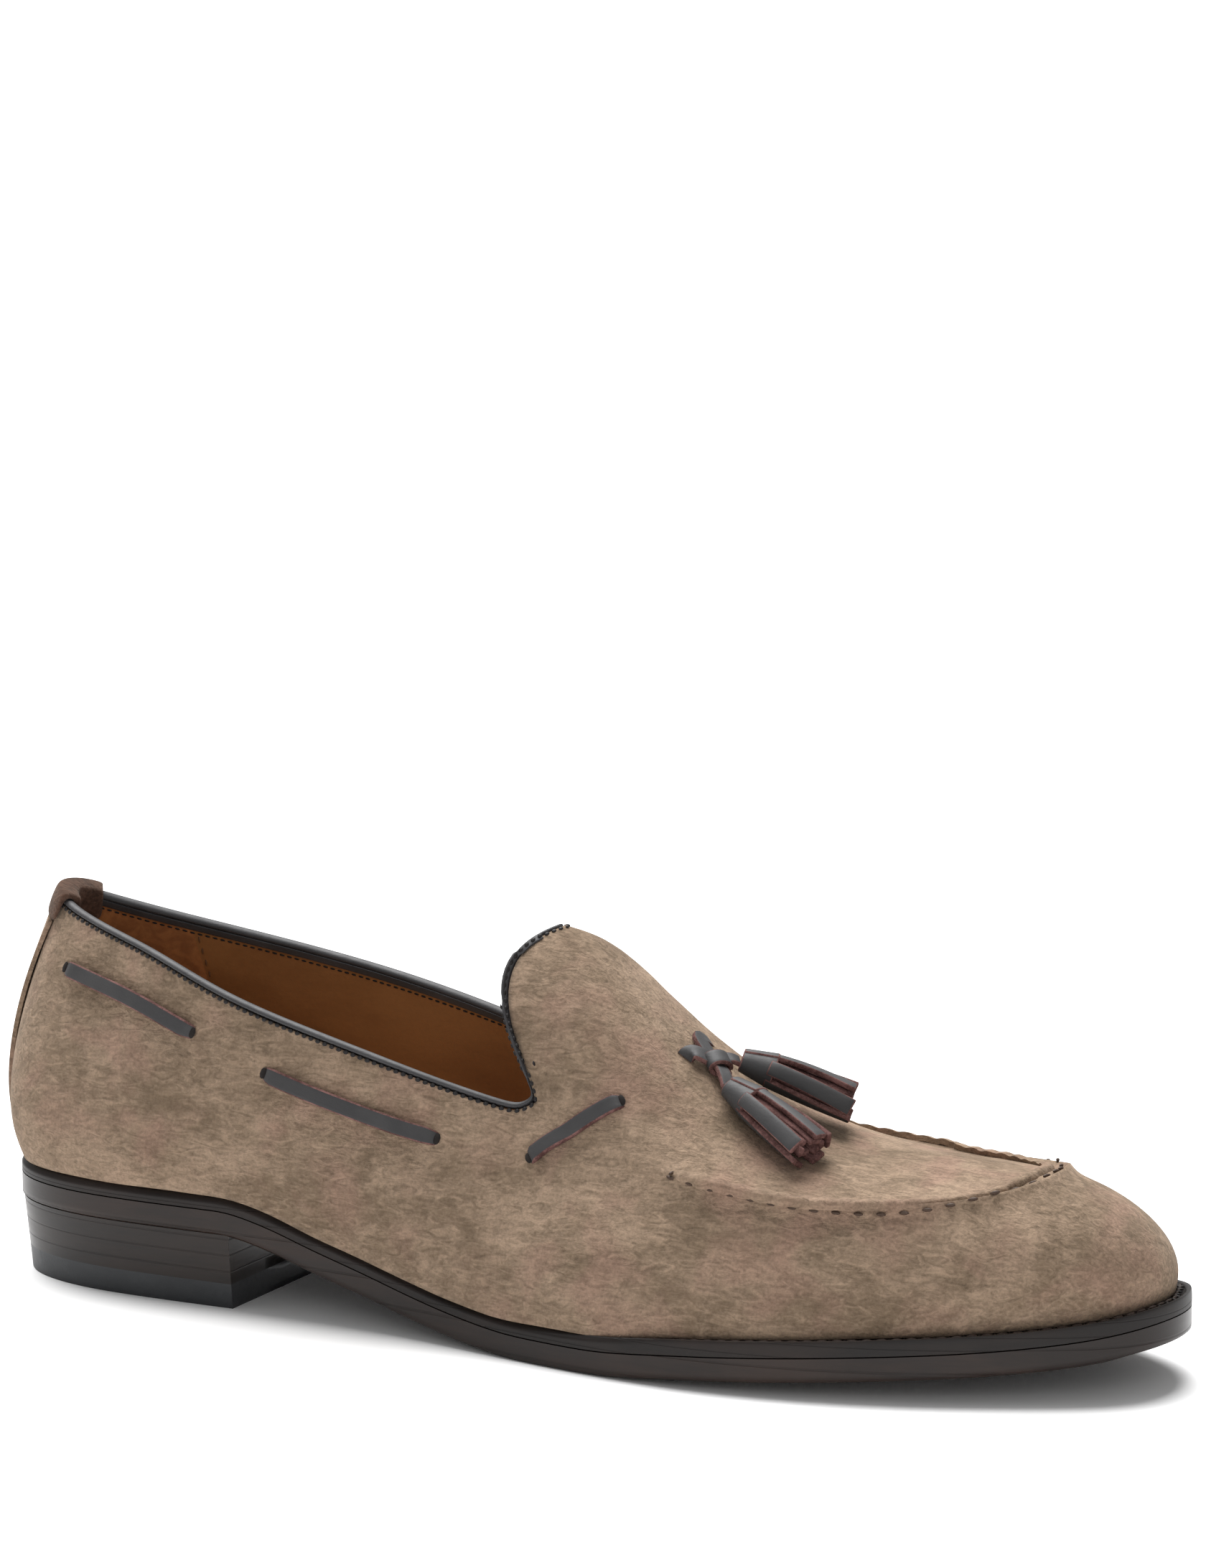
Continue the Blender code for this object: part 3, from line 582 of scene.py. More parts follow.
def deselect_all() -> None:
    """Leaves edit mode and clears the selection."""
    if bpy.context.object and bpy.context.object.mode != "OBJECT":
        bpy.ops.object.mode_set(mode="OBJECT")
    bpy.ops.object.select_all(action="DESELECT")


def pick(piece: bpy.types.Object) -> None:
    """Makes a piece the only one selected, and active.

    Args:
        piece: the object.
    """
    deselect_all()
    piece.select_set(True)
    bpy.context.view_layer.objects.active = piece


def settle(piece: bpy.types.Object) -> None:
    """Moves a piece's place into its mesh, so that its object sits at the origin."""
    pick(piece)
    bpy.ops.object.transform_apply(location=True, rotation=True, scale=True)


def work(piece: bpy.types.Object, kind: str, **settings: object) -> None:
    """Adds a modifier, sets it and applies it.

    Args:
        piece: the object.
        kind: the modifier's type.
        settings: the modifier's own properties.
    """
    pick(piece)
    bpy.ops.object.modifier_add(type=kind)
    modifier = piece.modifiers[-1]
    for name, value in settings.items():
        setattr(modifier, name, value)
    bpy.ops.object.modifier_apply(modifier=modifier.name)


def copy_node(nodes: Nodes, node: str, name: str) -> bpy.types.Object:
    """Copies a CAD node's mesh and merges its loose triangles into four-sided faces.

    Args:
        nodes: the CAD nodes by name.
        node: the node to copy.
        name: the copy's name.

    Returns:
        The copy, with no material.
    """
    piece = bpy.data.objects.new(name, nodes[node].data.copy())
    bpy.context.scene.collection.objects.link(piece)
    piece.data.materials.clear()
    pick(piece)
    bpy.ops.object.mode_set(mode="EDIT")
    bpy.ops.mesh.select_all(action="SELECT")
    bpy.ops.mesh.remove_doubles(threshold=MERGE_DISTANCE)
    bpy.ops.mesh.tris_convert_to_quads(
        face_threshold=QUAD_FACE_ANGLE, shape_threshold=QUAD_SHAPE_ANGLE,
    )
    bpy.ops.object.mode_set(mode="OBJECT")
    return piece


def crease_corners(piece: bpy.types.Object, angle: float) -> None:
    """Keeps sharp edges sharp through a subdivision.

    Args:
        piece: the object.
        angle: edges sharper than this, in degrees, are kept.
    """
    mesh = piece.data
    layer = mesh.attributes.get("crease_edge")
    layer = layer or mesh.attributes.new("crease_edge", "FLOAT", "EDGE")
    shape = bmesh.new()
    shape.from_mesh(mesh)
    shape.edges.ensure_lookup_table()
    keep = [
        1.0 if len(e.link_faces) == 2 and math.degrees(e.calc_face_angle(0.0)) > angle else 0.0
        for e in shape.edges
    ]
    shape.free()
    layer.data.foreach_set("value", keep)


def smooth_shade(piece: bpy.types.Object, angle: float = 45.0) -> None:
    """Shades a piece smooth, apart from edges sharper than an angle in degrees."""
    pick(piece)
    bpy.ops.object.shade_smooth_by_angle(angle=math.radians(angle))


def show(
    piece: bpy.types.Object, materials: Sequence[bpy.types.Material],
    replaced: Sequence[str] = (), angle: float = 45.0,
) -> None:
    """Dresses a finished piece, sets it on the shoe and reports it.

    Args:
        piece: the object, with its place in its mesh.
        materials: its materials in the order of its slots.
        replaced: the CAD nodes that it stands for.
        angle: edges sharper than this, in degrees, stay sharp.
    """
    kept = [face.material_index for face in piece.data.polygons]
    piece.data.materials.clear()
    for material in materials:
        piece.data.materials.append(material)
    piece.data.polygons.foreach_set("material_index", kept)
    smooth_shade(piece, angle)
    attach(piece, BODY)
    if replaced:
        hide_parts(*replaced)
    LOG.info("%s: %d faces", piece.name, len(piece.data.polygons))


def spline(
    values: Sequence[float], at: Sequence[float], flat_start: bool = False, flat_end: bool = False,
) -> np.ndarray:
    """Reads a smooth cubic curve that runs through values at 0, 1, 2 and so on.

    Args:
        values: what the curve runs through.
        at: the places to read.
        flat_start: whether the curve starts level.
        flat_end: whether the curve ends level.

    Returns:
        The curve's value at each place.
    """
    given = np.asarray(values, float)
    last = len(given) - 1
    matrix = np.zeros((last + 1, last + 1))
    right = np.zeros(last + 1)
    for i in range(1, last):
        matrix[i, i - 1:i + 2] = (1, 4, 1)
        right[i] = 3 * (given[i + 1] - given[i - 1])
    matrix[0, :2] = (1, 0) if flat_start else (2, 1)
    right[0] = 0 if flat_start else 3 * (given[1] - given[0])
    matrix[last, -2:] = (0, 1) if flat_end else (1, 2)
    right[last] = 0 if flat_end else 3 * (given[last] - given[last - 1])
    slopes = np.linalg.solve(matrix, right)
    places = np.atleast_1d(np.asarray(at, float))
    low = np.clip(places.astype(int), 0, last - 1)
    t = places - low
    a, b = given[low], given[low + 1]
    c, d = slopes[low], slopes[low + 1]
    return a + c * t + (3 * (b - a) - 2 * c - d) * t ** 2 + (2 * (a - b) + c + d) * t ** 3


def smooth_path(points: Sequence[Vector], count: int) -> Path:
    """A smooth curve through a few points.

    Args:
        points: what the curve runs through.
        count: how many points to give.

    Returns:
        Points at equal distances along the curve.
    """
    dense = np.linspace(0, len(points) - 1, 12 * len(points))
    lines = np.stack([spline([p[k] for p in points], dense) for k in range(3)], 1)
    return even_path([Vector(p) for p in lines], count, closed=False)


def even_path(points: Path, count: int, closed: bool) -> Path:
    """The same line with its points at equal distances.

    Args:
        points: the line.
        count: how many points to give.
        closed: whether the line runs back to its start.

    Returns:
        The new points.
    """
    line = np.array([tuple(p) for p in points])
    if closed:
        line = np.vstack([line, line[:1]])
    along = np.concatenate([[0], np.cumsum(np.linalg.norm(np.diff(line, axis=0), axis=1))])
    marks = np.linspace(0, along[-1], count + 1 if closed else count)
    if closed:
        marks = marks[:-1]
    columns = [np.interp(marks, along, line[:, k]) for k in range(3)]
    return [Vector(p) for p in np.stack(columns, 1)]


def path_length(points: Path, closed: bool = False) -> float:
    """The length of a line of points."""
    ends = points[1:] + (points[:1] if closed else [])
    return sum((b - a).length for a, b in zip(points, ends))


def tangent(points: Path, index: int, closed: bool = False) -> Vector:
    """The direction of a line of points at one of them.

    Args:
        points: the line.
        index: which point.
        closed: whether the line runs back to its start.

    Returns:
        The unit direction.
    """
    last = len(points) - 1
    before = points[index - 1] if index > 0 or closed else points[0]
    after = points[(index + 1) % len(points)] if index < last or closed else points[last]
    return (after - before).normalized()


def lay_strap(
    name: str, points: Path, ups: Sequence[Vector], widths: Sequence[float], thickness: float,
    edge_round: float = 0.0003, lifts: Optional[Sequence[float]] = None,
) -> bpy.types.Object:
    """A flat band whose outer face follows points, with its edges softened.

    Args:
        name: the new object's name.
        points: the middle of the outer face.
        ups: which way the outer face looks at each point.
        widths: the band's width at each point.
        thickness: its thickness.
        edge_round: the radius of its edges.
        lifts: extra height of the middle of the band over its edges, at each point.

    Returns:
        The band: slot 0 is its outer face, slot 1 its back and its cut edges.
    """
    deselect_all()
    last = len(points) - 1
    bpy.ops.mesh.primitive_grid_add(x_subdivisions=last, y_subdivisions=4, size=1)
    band = bpy.context.object
    band.name = name
    lifts = lifts or [0.0] * len(points)
    for vertex in band.data.vertices:
        index = round((vertex.co.x + 0.5) * last)
        share = vertex.co.y * 2
        up = ups[index].normalized()
        across = up.cross(tangent(points, index)).normalized()
        crown = up * lifts[index] * (1 - share * share)
        vertex.co = points[index] + across * share * widths[index] / 2 + crown
    band.data.materials.append(None)
    band.data.materials.append(None)
    work(
        band, "SOLIDIFY", thickness=thickness, offset=-1.0, use_rim=True,
        material_offset=1, material_offset_rim=1, use_even_offset=False,
    )
    work(
        band, "BEVEL", width=edge_round, segments=2, material=1,
        limit_method="ANGLE", angle_limit=STRAP_CORNER_ANGLE,
    )
    return band


def join_parts(
    name: str, parts: Sequence[bpy.types.Object], materials: Sequence[bpy.types.Material],
) -> bpy.types.Object:
    """Joins several straps, which keep their outer and raw faces.

    Args:
        name: the new piece's name.
        parts: the straps.
        materials: what fills their slots, so that the slots stay apart.

    Returns:
        The joined piece.
    """
    deselect_all()
    for part in parts:
        for slot, material in enumerate(materials):
            part.data.materials[slot] = material
        part.select_set(True)
    bpy.context.view_layer.objects.active = parts[0]
    bpy.ops.object.join()
    joined = bpy.context.object
    joined.name = name
    return joined


def repeat_along(name: str, model: bpy.types.Object, frames: Sequence[Matrix]) -> bpy.types.Object:
    """Copies a small model to each frame and joins the copies into one piece.

    Args:
        name: the new object's name.
        model: the piece that is repeated, which is used up.
        frames: where each copy goes.

    Returns:
        The joined piece.
    """
    copies = []
    for frame in frames:
        copy = model.copy()
        copy.data = model.data.copy()
        copy.matrix_world = frame
        bpy.context.scene.collection.objects.link(copy)
        copies.append(copy)
    deselect_all()
    bpy.data.objects.remove(model, do_unlink=True)
    for copy in copies:
        copy.select_set(True)
    bpy.context.view_layer.objects.active = copies[0]
    bpy.ops.object.join()
    joined = bpy.context.object
    joined.name = name
    settle(joined)
    return joined


def stitch_model(length: float, width: float, height: float) -> bpy.types.Object:
    """One stitch: a small rounded length of thread along X.

    Args:
        length: its size along X.
        width: its size along Y.
        height: its size along Z.

    Returns:
        The stitch, to be repeated.
    """
    deselect_all()
    bpy.ops.mesh.primitive_uv_sphere_add(segments=8, ring_count=5, radius=0.5)
    stitch = bpy.context.object
    stitch.rotation_euler = (0.0, math.pi / 2, 0.0)
    settle(stitch)
    stitch.scale = (length, width, height)
    settle(stitch)
    return stitch


def frame_at(place: Vector, along: Vector, up: Vector) -> Matrix:
    """A frame for a small piece.

    Args:
        place: its origin.
        along: the direction of its X.
        up: the direction that its Z comes as near to as it can.

    Returns:
        The frame as a matrix.
    """
    x = along.normalized()
    y = up.cross(x).normalized()
    z = x.cross(y)
    return Matrix.Translation(place) @ Matrix((x, y, z)).transposed().to_4x4()


def sections_of(node: bpy.types.Object, count: int) -> Path:
    """The centres of a long node's cross-sections.

    Args:
        node: the CAD node.
        count: how many sections to give.

    Returns:
        The centres, from the low X end to the high X end.
    """
    places = np.array([tuple(v.co) for v in node.data.vertices])
    places = np.unique(np.round(places, 6), axis=0)
    middle = places.mean(0)
    axis = np.linalg.svd(places - middle)[2][0]
    axis = axis if axis[0] > 0 else -axis
    order = np.argsort((places - middle) @ axis)
    return [Vector(places[group].mean(0)) for group in np.array_split(order, count)]


# Lines of the last


@dataclass(frozen=True)
class LastLines:
    """The collar's line, the apron's line and the middle of the inside, from the driving sizes."""

    sole_length: float = 0.2983
    ball_width: float = 0.1005
    heel_rest: float = 0.036
    collar_height: float = 0.0915
    ridge_height: float = 0.0925
    tongue_station: float = 0.4811
    tongue_slope: float = 78.0
    tongue_low_reach: float = 0.46
    tongue_high_reach: float = 0.50
    tongue_bend: float = 0.0110
    tongue_bend_power: float = 1.3
    # station, lateral y, medial y, lateral height, medial height, as shares of the sizes above
    collar_rows: tuple = (
        (0.0283, 0.000, 0.000, 0.968, 0.968), (0.0352, 0.055, 0.055, 0.961, 0.961),
        (0.0550, 0.103, 0.106, 0.942, 0.936), (0.0965, 0.155, 0.165, 0.909, 0.895),
        (0.1525, 0.215, 0.219, 0.869, 0.852), (0.2213, 0.269, 0.261, 0.800, 0.805),
        (0.2950, 0.294, 0.274, 0.738, 0.758), (0.3620, 0.295, 0.279, 0.683, 0.706),
        (0.4157, 0.282, 0.277, 0.635, 0.656), (0.4593, 0.261, 0.259, 0.597, 0.604),
        (0.4811, 0.248, 0.248, 0.586, 0.588), (0.4948, 0.241, 0.241, 0.610, 0.612),
    )
    # station, y and height of the apron's seam, in the same shares
    apron_rows: tuple = (
        (0.5833, 0.317, 0.516), (0.6369, 0.333, 0.481), (0.6906, 0.334, 0.457),
        (0.7442, 0.327, 0.446), (0.7979, 0.285, 0.447), (0.8340, 0.232, 0.457),
        (0.8600, 0.172, 0.474), (0.8775, 0.098, 0.494), (0.8835, 0.000, 0.502),
    )
    apron_start: float = 0.82
    inside_points: tuple = (
        (-0.004, 0.0, 0.055), (0.05, 0.0, 0.050), (0.10, 0.0, 0.043), (0.15, 0.0, 0.034),
        (0.205, 0.0, 0.029),
    )

    def _point(self, station: float, across: float, height: float) -> Vector:
        """A point from shares of the sole's length, ball's width and collar's height."""
        return Vector((
            station * self.sole_length - self.heel_rest,
            across * self.ball_width,
            height * self.collar_height,
        ))

    def _columns(self, side: Side) -> tuple[int, int]:
        """Where a collar row holds a side's y and its height."""
        column = 1 if side is Side.LATERAL else 2
        return column, column + 2

    def collar_side(self, side: Side, steps: int = 60) -> Path:
        """The top edge of one side of the upper, from the heel to the tongue's corner.

        Args:
            side: the side of the shoe.
            steps: how many points the edge gets.

        Returns:
            The edge's points.
        """
        at = np.linspace(0, len(self.collar_rows) - 1, steps)
        out, height = self._columns(side)
        x = spline([row[0] for row in self.collar_rows], at, True)
        y = spline([row[out] for row in self.collar_rows], at)
        z = spline([row[height] for row in self.collar_rows], at, True)
        return [self._point(a, side.value * b, c) for a, b, c in zip(x, y, z)]

    def tongue_side(self, side: Side, steps: int = 26) -> Path:
        """The tongue's edge on one side, from its corner to the ridge.

        Args:
            side: the side of the shoe.
            steps: how many parts the edge is cut into.

        Returns:
            The edge's points.
        """
        out, height = self._columns(side)
        last = self.collar_rows[-1]
        corner = self._point(last[0], side.value * last[out], last[height])
        ridge_x = self.tongue_station * self.sole_length - self.heel_rest
        ridge = Vector((ridge_x, 0.0, self.ridge_height))
        across = ridge - corner
        level = Vector((across.x, across.y, 0.0))
        slope, reach = math.radians(self.tongue_slope), self.tongue_low_reach
        low = corner + level.normalized() * reach * across.length * math.cos(slope)
        low.z += reach * across.length * math.sin(slope)
        high = ridge - level * self.tongue_high_reach
        edge = []
        for k in range(steps + 1):
            t = k / steps
            s = 1 - t
            point = corner * s ** 3 + low * 3 * s * s * t + high * 3 * s * t * t + ridge * t ** 3
            point.x -= self.tongue_bend * math.sin(math.pi * t) ** self.tongue_bend_power
            edge.append(point)
        return edge

    def collar(self, count: int) -> Path:
        """The whole top edge, closed, from the heel by the inner side.

        Args:
            count: how many points the edge gets.

        Returns:
            The edge's points at equal distances.
        """
        inner = self.collar_side(Side.MEDIAL)[:-1] + self.tongue_side(Side.MEDIAL)[:-1]
        outer = self.collar_side(Side.LATERAL)[:-1] + self.tongue_side(Side.LATERAL)
        return even_path(inner + outer[:0:-1], count, closed=True)

    def apron(self, count: int, steps: int = 80) -> Path:
        """The apron's seam from its lateral end round the toe to its medial end.

        Args:
            count: how many points the seam gets.
            steps: how finely each half is read from its curve.

        Returns:
            The seam's points at equal distances.
        """
        at = np.linspace(self.apron_start, len(self.apron_rows) - 1, steps)
        columns = [
            spline([row[k] for row in self.apron_rows], at, False, k != 1) for k in range(3)
        ]
        half = [self._point(a, b, c) for a, b, c in zip(*columns)]
        outer = [Vector((p.x, -p.y, p.z)) for p in half]
        return even_path(outer + half[-2::-1], count, closed=False)

    def inside(self) -> Path:
        """The middle of the foot's space, from the heel to the toes."""
        return [Vector(p) for p in self.inside_points]


# The upper


@dataclass(frozen=True)
class Crease:
    """A soft trough or ridge in the leather between two points, with a trough's depth below 0."""

    start: Point
    end: Point
    width: float
    depth: float
    fade_start: float = 0.12
    fade_span: float = 0.76
    fade_power: float = 0.6

    def shift(self, place: Vector) -> float:
        """How far the surface moves out at a place.

        Args:
            place: a point of the surface.

        Returns:
            The move along the surface's normal, in metres.
        """
        a, b = Vector(self.start), Vector(self.end)
        along = b - a
        share = max(0.0, min(1.0, (place - a).dot(along) / along.length_squared))
        away = (place - (a + along * share)).length
        fade = math.sin(math.pi * (self.fade_start + self.fade_span * share)) ** self.fade_power
        return self.depth * fade * math.exp(-((away / self.width) ** 2))


@dataclass
class Upper:
    """The suede upper with its lining, one hollow shell."""

    lines: LastLines
    wardrobe: Wardrobe
    levels: int = 2
    corner_angle: float = 60.0
    shade_angle: float = 70.0
    wave_size: float = 0.016
    wave_depth: float = 0.00022
    ray_start: float = 0.0003
    wall_step: float = 0.005
    creases: tuple = (
        Crease((0.112, -0.031, 0.050), (0.118, -0.038, 0.024), 0.0060, -0.0007),
        Crease((0.112, 0.031, 0.050), (0.118, 0.037, 0.024), 0.0060, -0.0007),
        Crease((0.128, -0.026, 0.062), (0.142, -0.040, 0.036), 0.0070, -0.0005),
        Crease((0.128, 0.026, 0.062), (0.142, 0.040, 0.036), 0.0070, -0.0005),
        Crease((0.150, -0.020, 0.063), (0.158, -0.041, 0.034), 0.0065, 0.0004),
        Crease((0.150, 0.020, 0.063), (0.158, 0.041, 0.034), 0.0065, 0.0004),
        Crease((0.010, -0.024, 0.062), (0.026, -0.031, 0.045), 0.0080, -0.0005),
        Crease((0.010, 0.025, 0.062), (0.026, 0.030, 0.045), 0.0080, -0.0005),
        Crease((0.175, -0.030, 0.037), (0.200, -0.026, 0.038), 0.0050, -0.0004),
        Crease((0.175, 0.030, 0.037), (0.200, 0.026, 0.038), 0.0050, -0.0004),
    )
    tree: BVHTree = field(init=False)

    def build(self, nodes: Nodes) -> None:
        """Makes the shell from a copy of its solid.

        Args:
            nodes: the CAD nodes by name.
        """
        shell = copy_node(nodes, "upper", "upper_shell")
        crease_corners(shell, self.corner_angle)
        work(shell, "SUBSURF", levels=self.levels, render_levels=self.levels)
        self.tree = self.tree_of(shell)
        lined = self.find_lining(shell)
        places = [v.co.copy() for v in shell.data.vertices]
        normals = [v.normal.copy() for v in shell.data.vertices]
        for index, hidden in enumerate(lined):
            if not hidden:
                places[index] += normals[index] * self.relief(places[index])
        shell.data.vertices.foreach_set("co", [value for place in places for value in place])
        shell.data.update()
        self.tree = self.tree_of(shell)
        faces = [(face.center.copy(), face.normal.copy()) for face in shell.data.polygons]
        kept = [int(self.looks_in(place, normal)) for place, normal in faces]
        shell.data.polygons.foreach_set("material_index", kept)
        materials = (self.wardrobe.suede, self.wardrobe.lining)
        show(shell, materials, ["upper"], self.shade_angle)

    def tree_of(self, shell: bpy.types.Object) -> BVHTree:
        """The shell's faces, ready to be searched."""
        places = [v.co.copy() for v in shell.data.vertices]
        return BVHTree.FromPolygons(places, [list(p.vertices) for p in shell.data.polygons])

    def find_lining(self, shell: bpy.types.Object) -> list[bool]:
        """Finds the points that belong to the lining alone.

        Args:
            shell: the upper's shell.

        Returns:
            For each vertex, whether all its faces look into the shoe.
        """
        lined = [True] * len(shell.data.vertices)
        for face in shell.data.polygons:
            if not self.looks_in(face.center.copy(), face.normal.copy()):
                for index in face.vertices:
                    lined[index] = False
        return lined

    def middle_near(self, place: Vector) -> Vector:
        """Finds the nearest point of the inside's middle line.

        Args:
            place: a point in or on the shoe.

        Returns:
            The middle line's point.
        """
        line = self.lines.inside()
        best = None
        for a, b in zip(line, line[1:]):
            along = b - a
            share = max(0.0, min(1.0, (place - a).dot(along) / along.length_squared))
            near = a + along * share
            if best is None or (near - place).length < (best - place).length:
                best = near
        return best

    def looks_in(self, place: Vector, normal: Vector) -> bool:
        """Tells whether a face looks at the middle of the inside, with nothing in between.

        Args:
            place: the face's middle.
            normal: the face's normal.

        Returns:
            True for a face of the lining.
        """
        way = self.middle_near(place) - place
        if normal.dot(way) <= 0:
            return False
        start = place + normal * self.ray_start
        hit, _, _, _ = self.tree.ray_cast(start, way.normalized(), way.length)
        return hit is None

    def relief(self, place: Vector) -> float:
        """How far the suede stands out of the smooth last at a place."""
        wave = noise.noise(place / self.wave_size) * self.wave_depth
        return wave + sum(crease.shift(place) for crease in self.creases)

    def nearest(self, place: Vector) -> tuple[Vector, Vector]:
        """The surface's nearest point and its normal."""
        point, normal, _, _ = self.tree.find_nearest(place)
        return point, normal

    def outward(self, place: Vector, across: Vector) -> Vector:
        """Finds the way out of the shoe from the wall a little to both sides of a place.

        Args:
            place: a point in the wall or near it.
            across: the direction in which the two sides lie.

        Returns:
            The unit direction out of the shoe.
        """
        way_out = place - self.middle_near(place)
        total = Vector()
        for step in (-self.wall_step, self.wall_step):
            _, normal = self.nearest(place + across * step)
            total += normal if normal.dot(way_out) > 0 else -normal
        return total.normalized()

    def face_towards(self, place: Vector, way: Vector, reach: float = 0.005) -> Vector:
        """Finds the point of the wall's face that is met on the way to a place from outside it.

        Args:
            place: a point in the wall or near it.
            way: the unit direction that the face looks in.
            reach: how far off the search starts.

        Returns:
            The point on the face, or the place itself where the wall isn't met.
        """
        hit, _, _, _ = self.tree.ray_cast(place + way * reach, -way, 2 * reach)
        return hit if hit is not None else place


@dataclass
class Topline:
    """The bead of binding round the opening, the fold inside it and two rows of stitches."""

    lines: LastLines
    upper: Upper
    wardrobe: Wardrobe
    pitch: float = 0.0019
    outer_stitch: Size = (0.0013, 0.0010, 0.0006)
    inner_stitch: Size = (0.0013, 0.0005, 0.0004)
    outer_drop: float = 0.00015
    outer_slant: float = 0.30
    inner_drop: float = 0.0019
    stand: float = 0.0001
    fold_width: float = 0.0016
    fold_drop: float = 0.0002
    fold_thickness: float = 0.0006
    fold_stand: float = 0.8
    fold_edge: float = 0.00012
    opening_x: float = 0.045
    opening_rise: float = 0.02
    wall_probe: float = 0.007
    probe_across: float = 0.4

    def build(self, nodes: Nodes) -> None:
        """Makes the bead, both rows of stitches and the fold.

        Args:
            nodes: the CAD nodes by name.
        """
        bead = copy_node(nodes, "topline_binding", "topline_bead")
        work(bead, "SUBSURF", levels=2, render_levels=2)
        show(bead, (self.wardrobe.binding,), ["topline_binding"], 80)
        edge = self.lines.collar(round(path_length(self.lines.collar(400), True) / self.pitch))
        outer, inner, fold = [], [], []
        for index, point in enumerate(edge):
            along = tangent(edge, index, True)
            outer.append(self.stitch_frame(point, along, self.outer_drop, False, self.outer_slant))
            inner.append(self.stitch_frame(point, along, self.inner_drop, True))
            fold.append(self.stitch_frame(point, along, self.fold_drop, True))
        rows = (
            ("collar_stitches", self.outer_stitch, outer),
            ("lining_stitches", self.inner_stitch, inner),
        )
        for name, size, frames in rows:
            row = repeat_along(name, stitch_model(*size), frames)
            show(row, (self.wardrobe.dark_thread,))
        self.lay_fold(fold)

    def lay_fold(self, frames: list[Matrix]) -> None:
        """Lays the narrow band of binding that turns in over the lining.

        Args:
            frames: the band's places round the collar, each with Z out of the lining.
        """
        frames.append(frames[0])
        ups = [frame.col[2].to_3d() for frame in frames]
        middle = [
            frame.translation + up * self.fold_thickness * self.fold_stand
            for frame, up in zip(frames, ups)
        ]
        widths = [self.fold_width] * len(frames)
        band = lay_strap("topline_fold", middle, ups, widths, self.fold_thickness, self.fold_edge)
        show(band, (self.wardrobe.binding, self.wardrobe.binding))

    def away(self, point: Vector, along: Vector, normal: Vector) -> Vector:
        """Finds the way down the surface from the collar's edge.

        Args:
            point: the collar's edge.
            along: the edge's direction.
            normal: the way out of the shoe there.

        Returns:
            The unit direction down the surface.
        """
        down = along.cross(normal).normalized()
        from_middle = point - Vector((self.opening_x, 0.0, point.z + self.opening_rise))
        return down if down.dot(from_middle) > 0 else -down

    def stitch_frame(
        self, point: Vector, along: Vector, drop: float, on_lining: bool, slant: float = 0.0,
    ) -> Matrix:
        """A frame for one stitch that slants across its row.

        Args:
            point: the collar's edge.
            along: the edge's direction.
            drop: how far down from the edge.
            on_lining: whether the row is on the lining and not on the outer face.
            slant: how much the stitch leans down its row.

        Returns:
            The stitch's frame, with Z out of the face.
        """
        probe = point + Vector((0.0, 0.0, -self.wall_probe))
        normal = self.upper.outward(probe, Vector((0.0, 0.0, self.probe_across)))
        flat = (normal - along * normal.dot(along)).normalized()
        down = self.away(point, along, flat)
        facing = -flat if on_lining else flat
        place = self.upper.face_towards(point + down * drop, facing)
        lean = (along + down * slant).normalized()
        return frame_at(place + facing * self.stand, lean, facing)


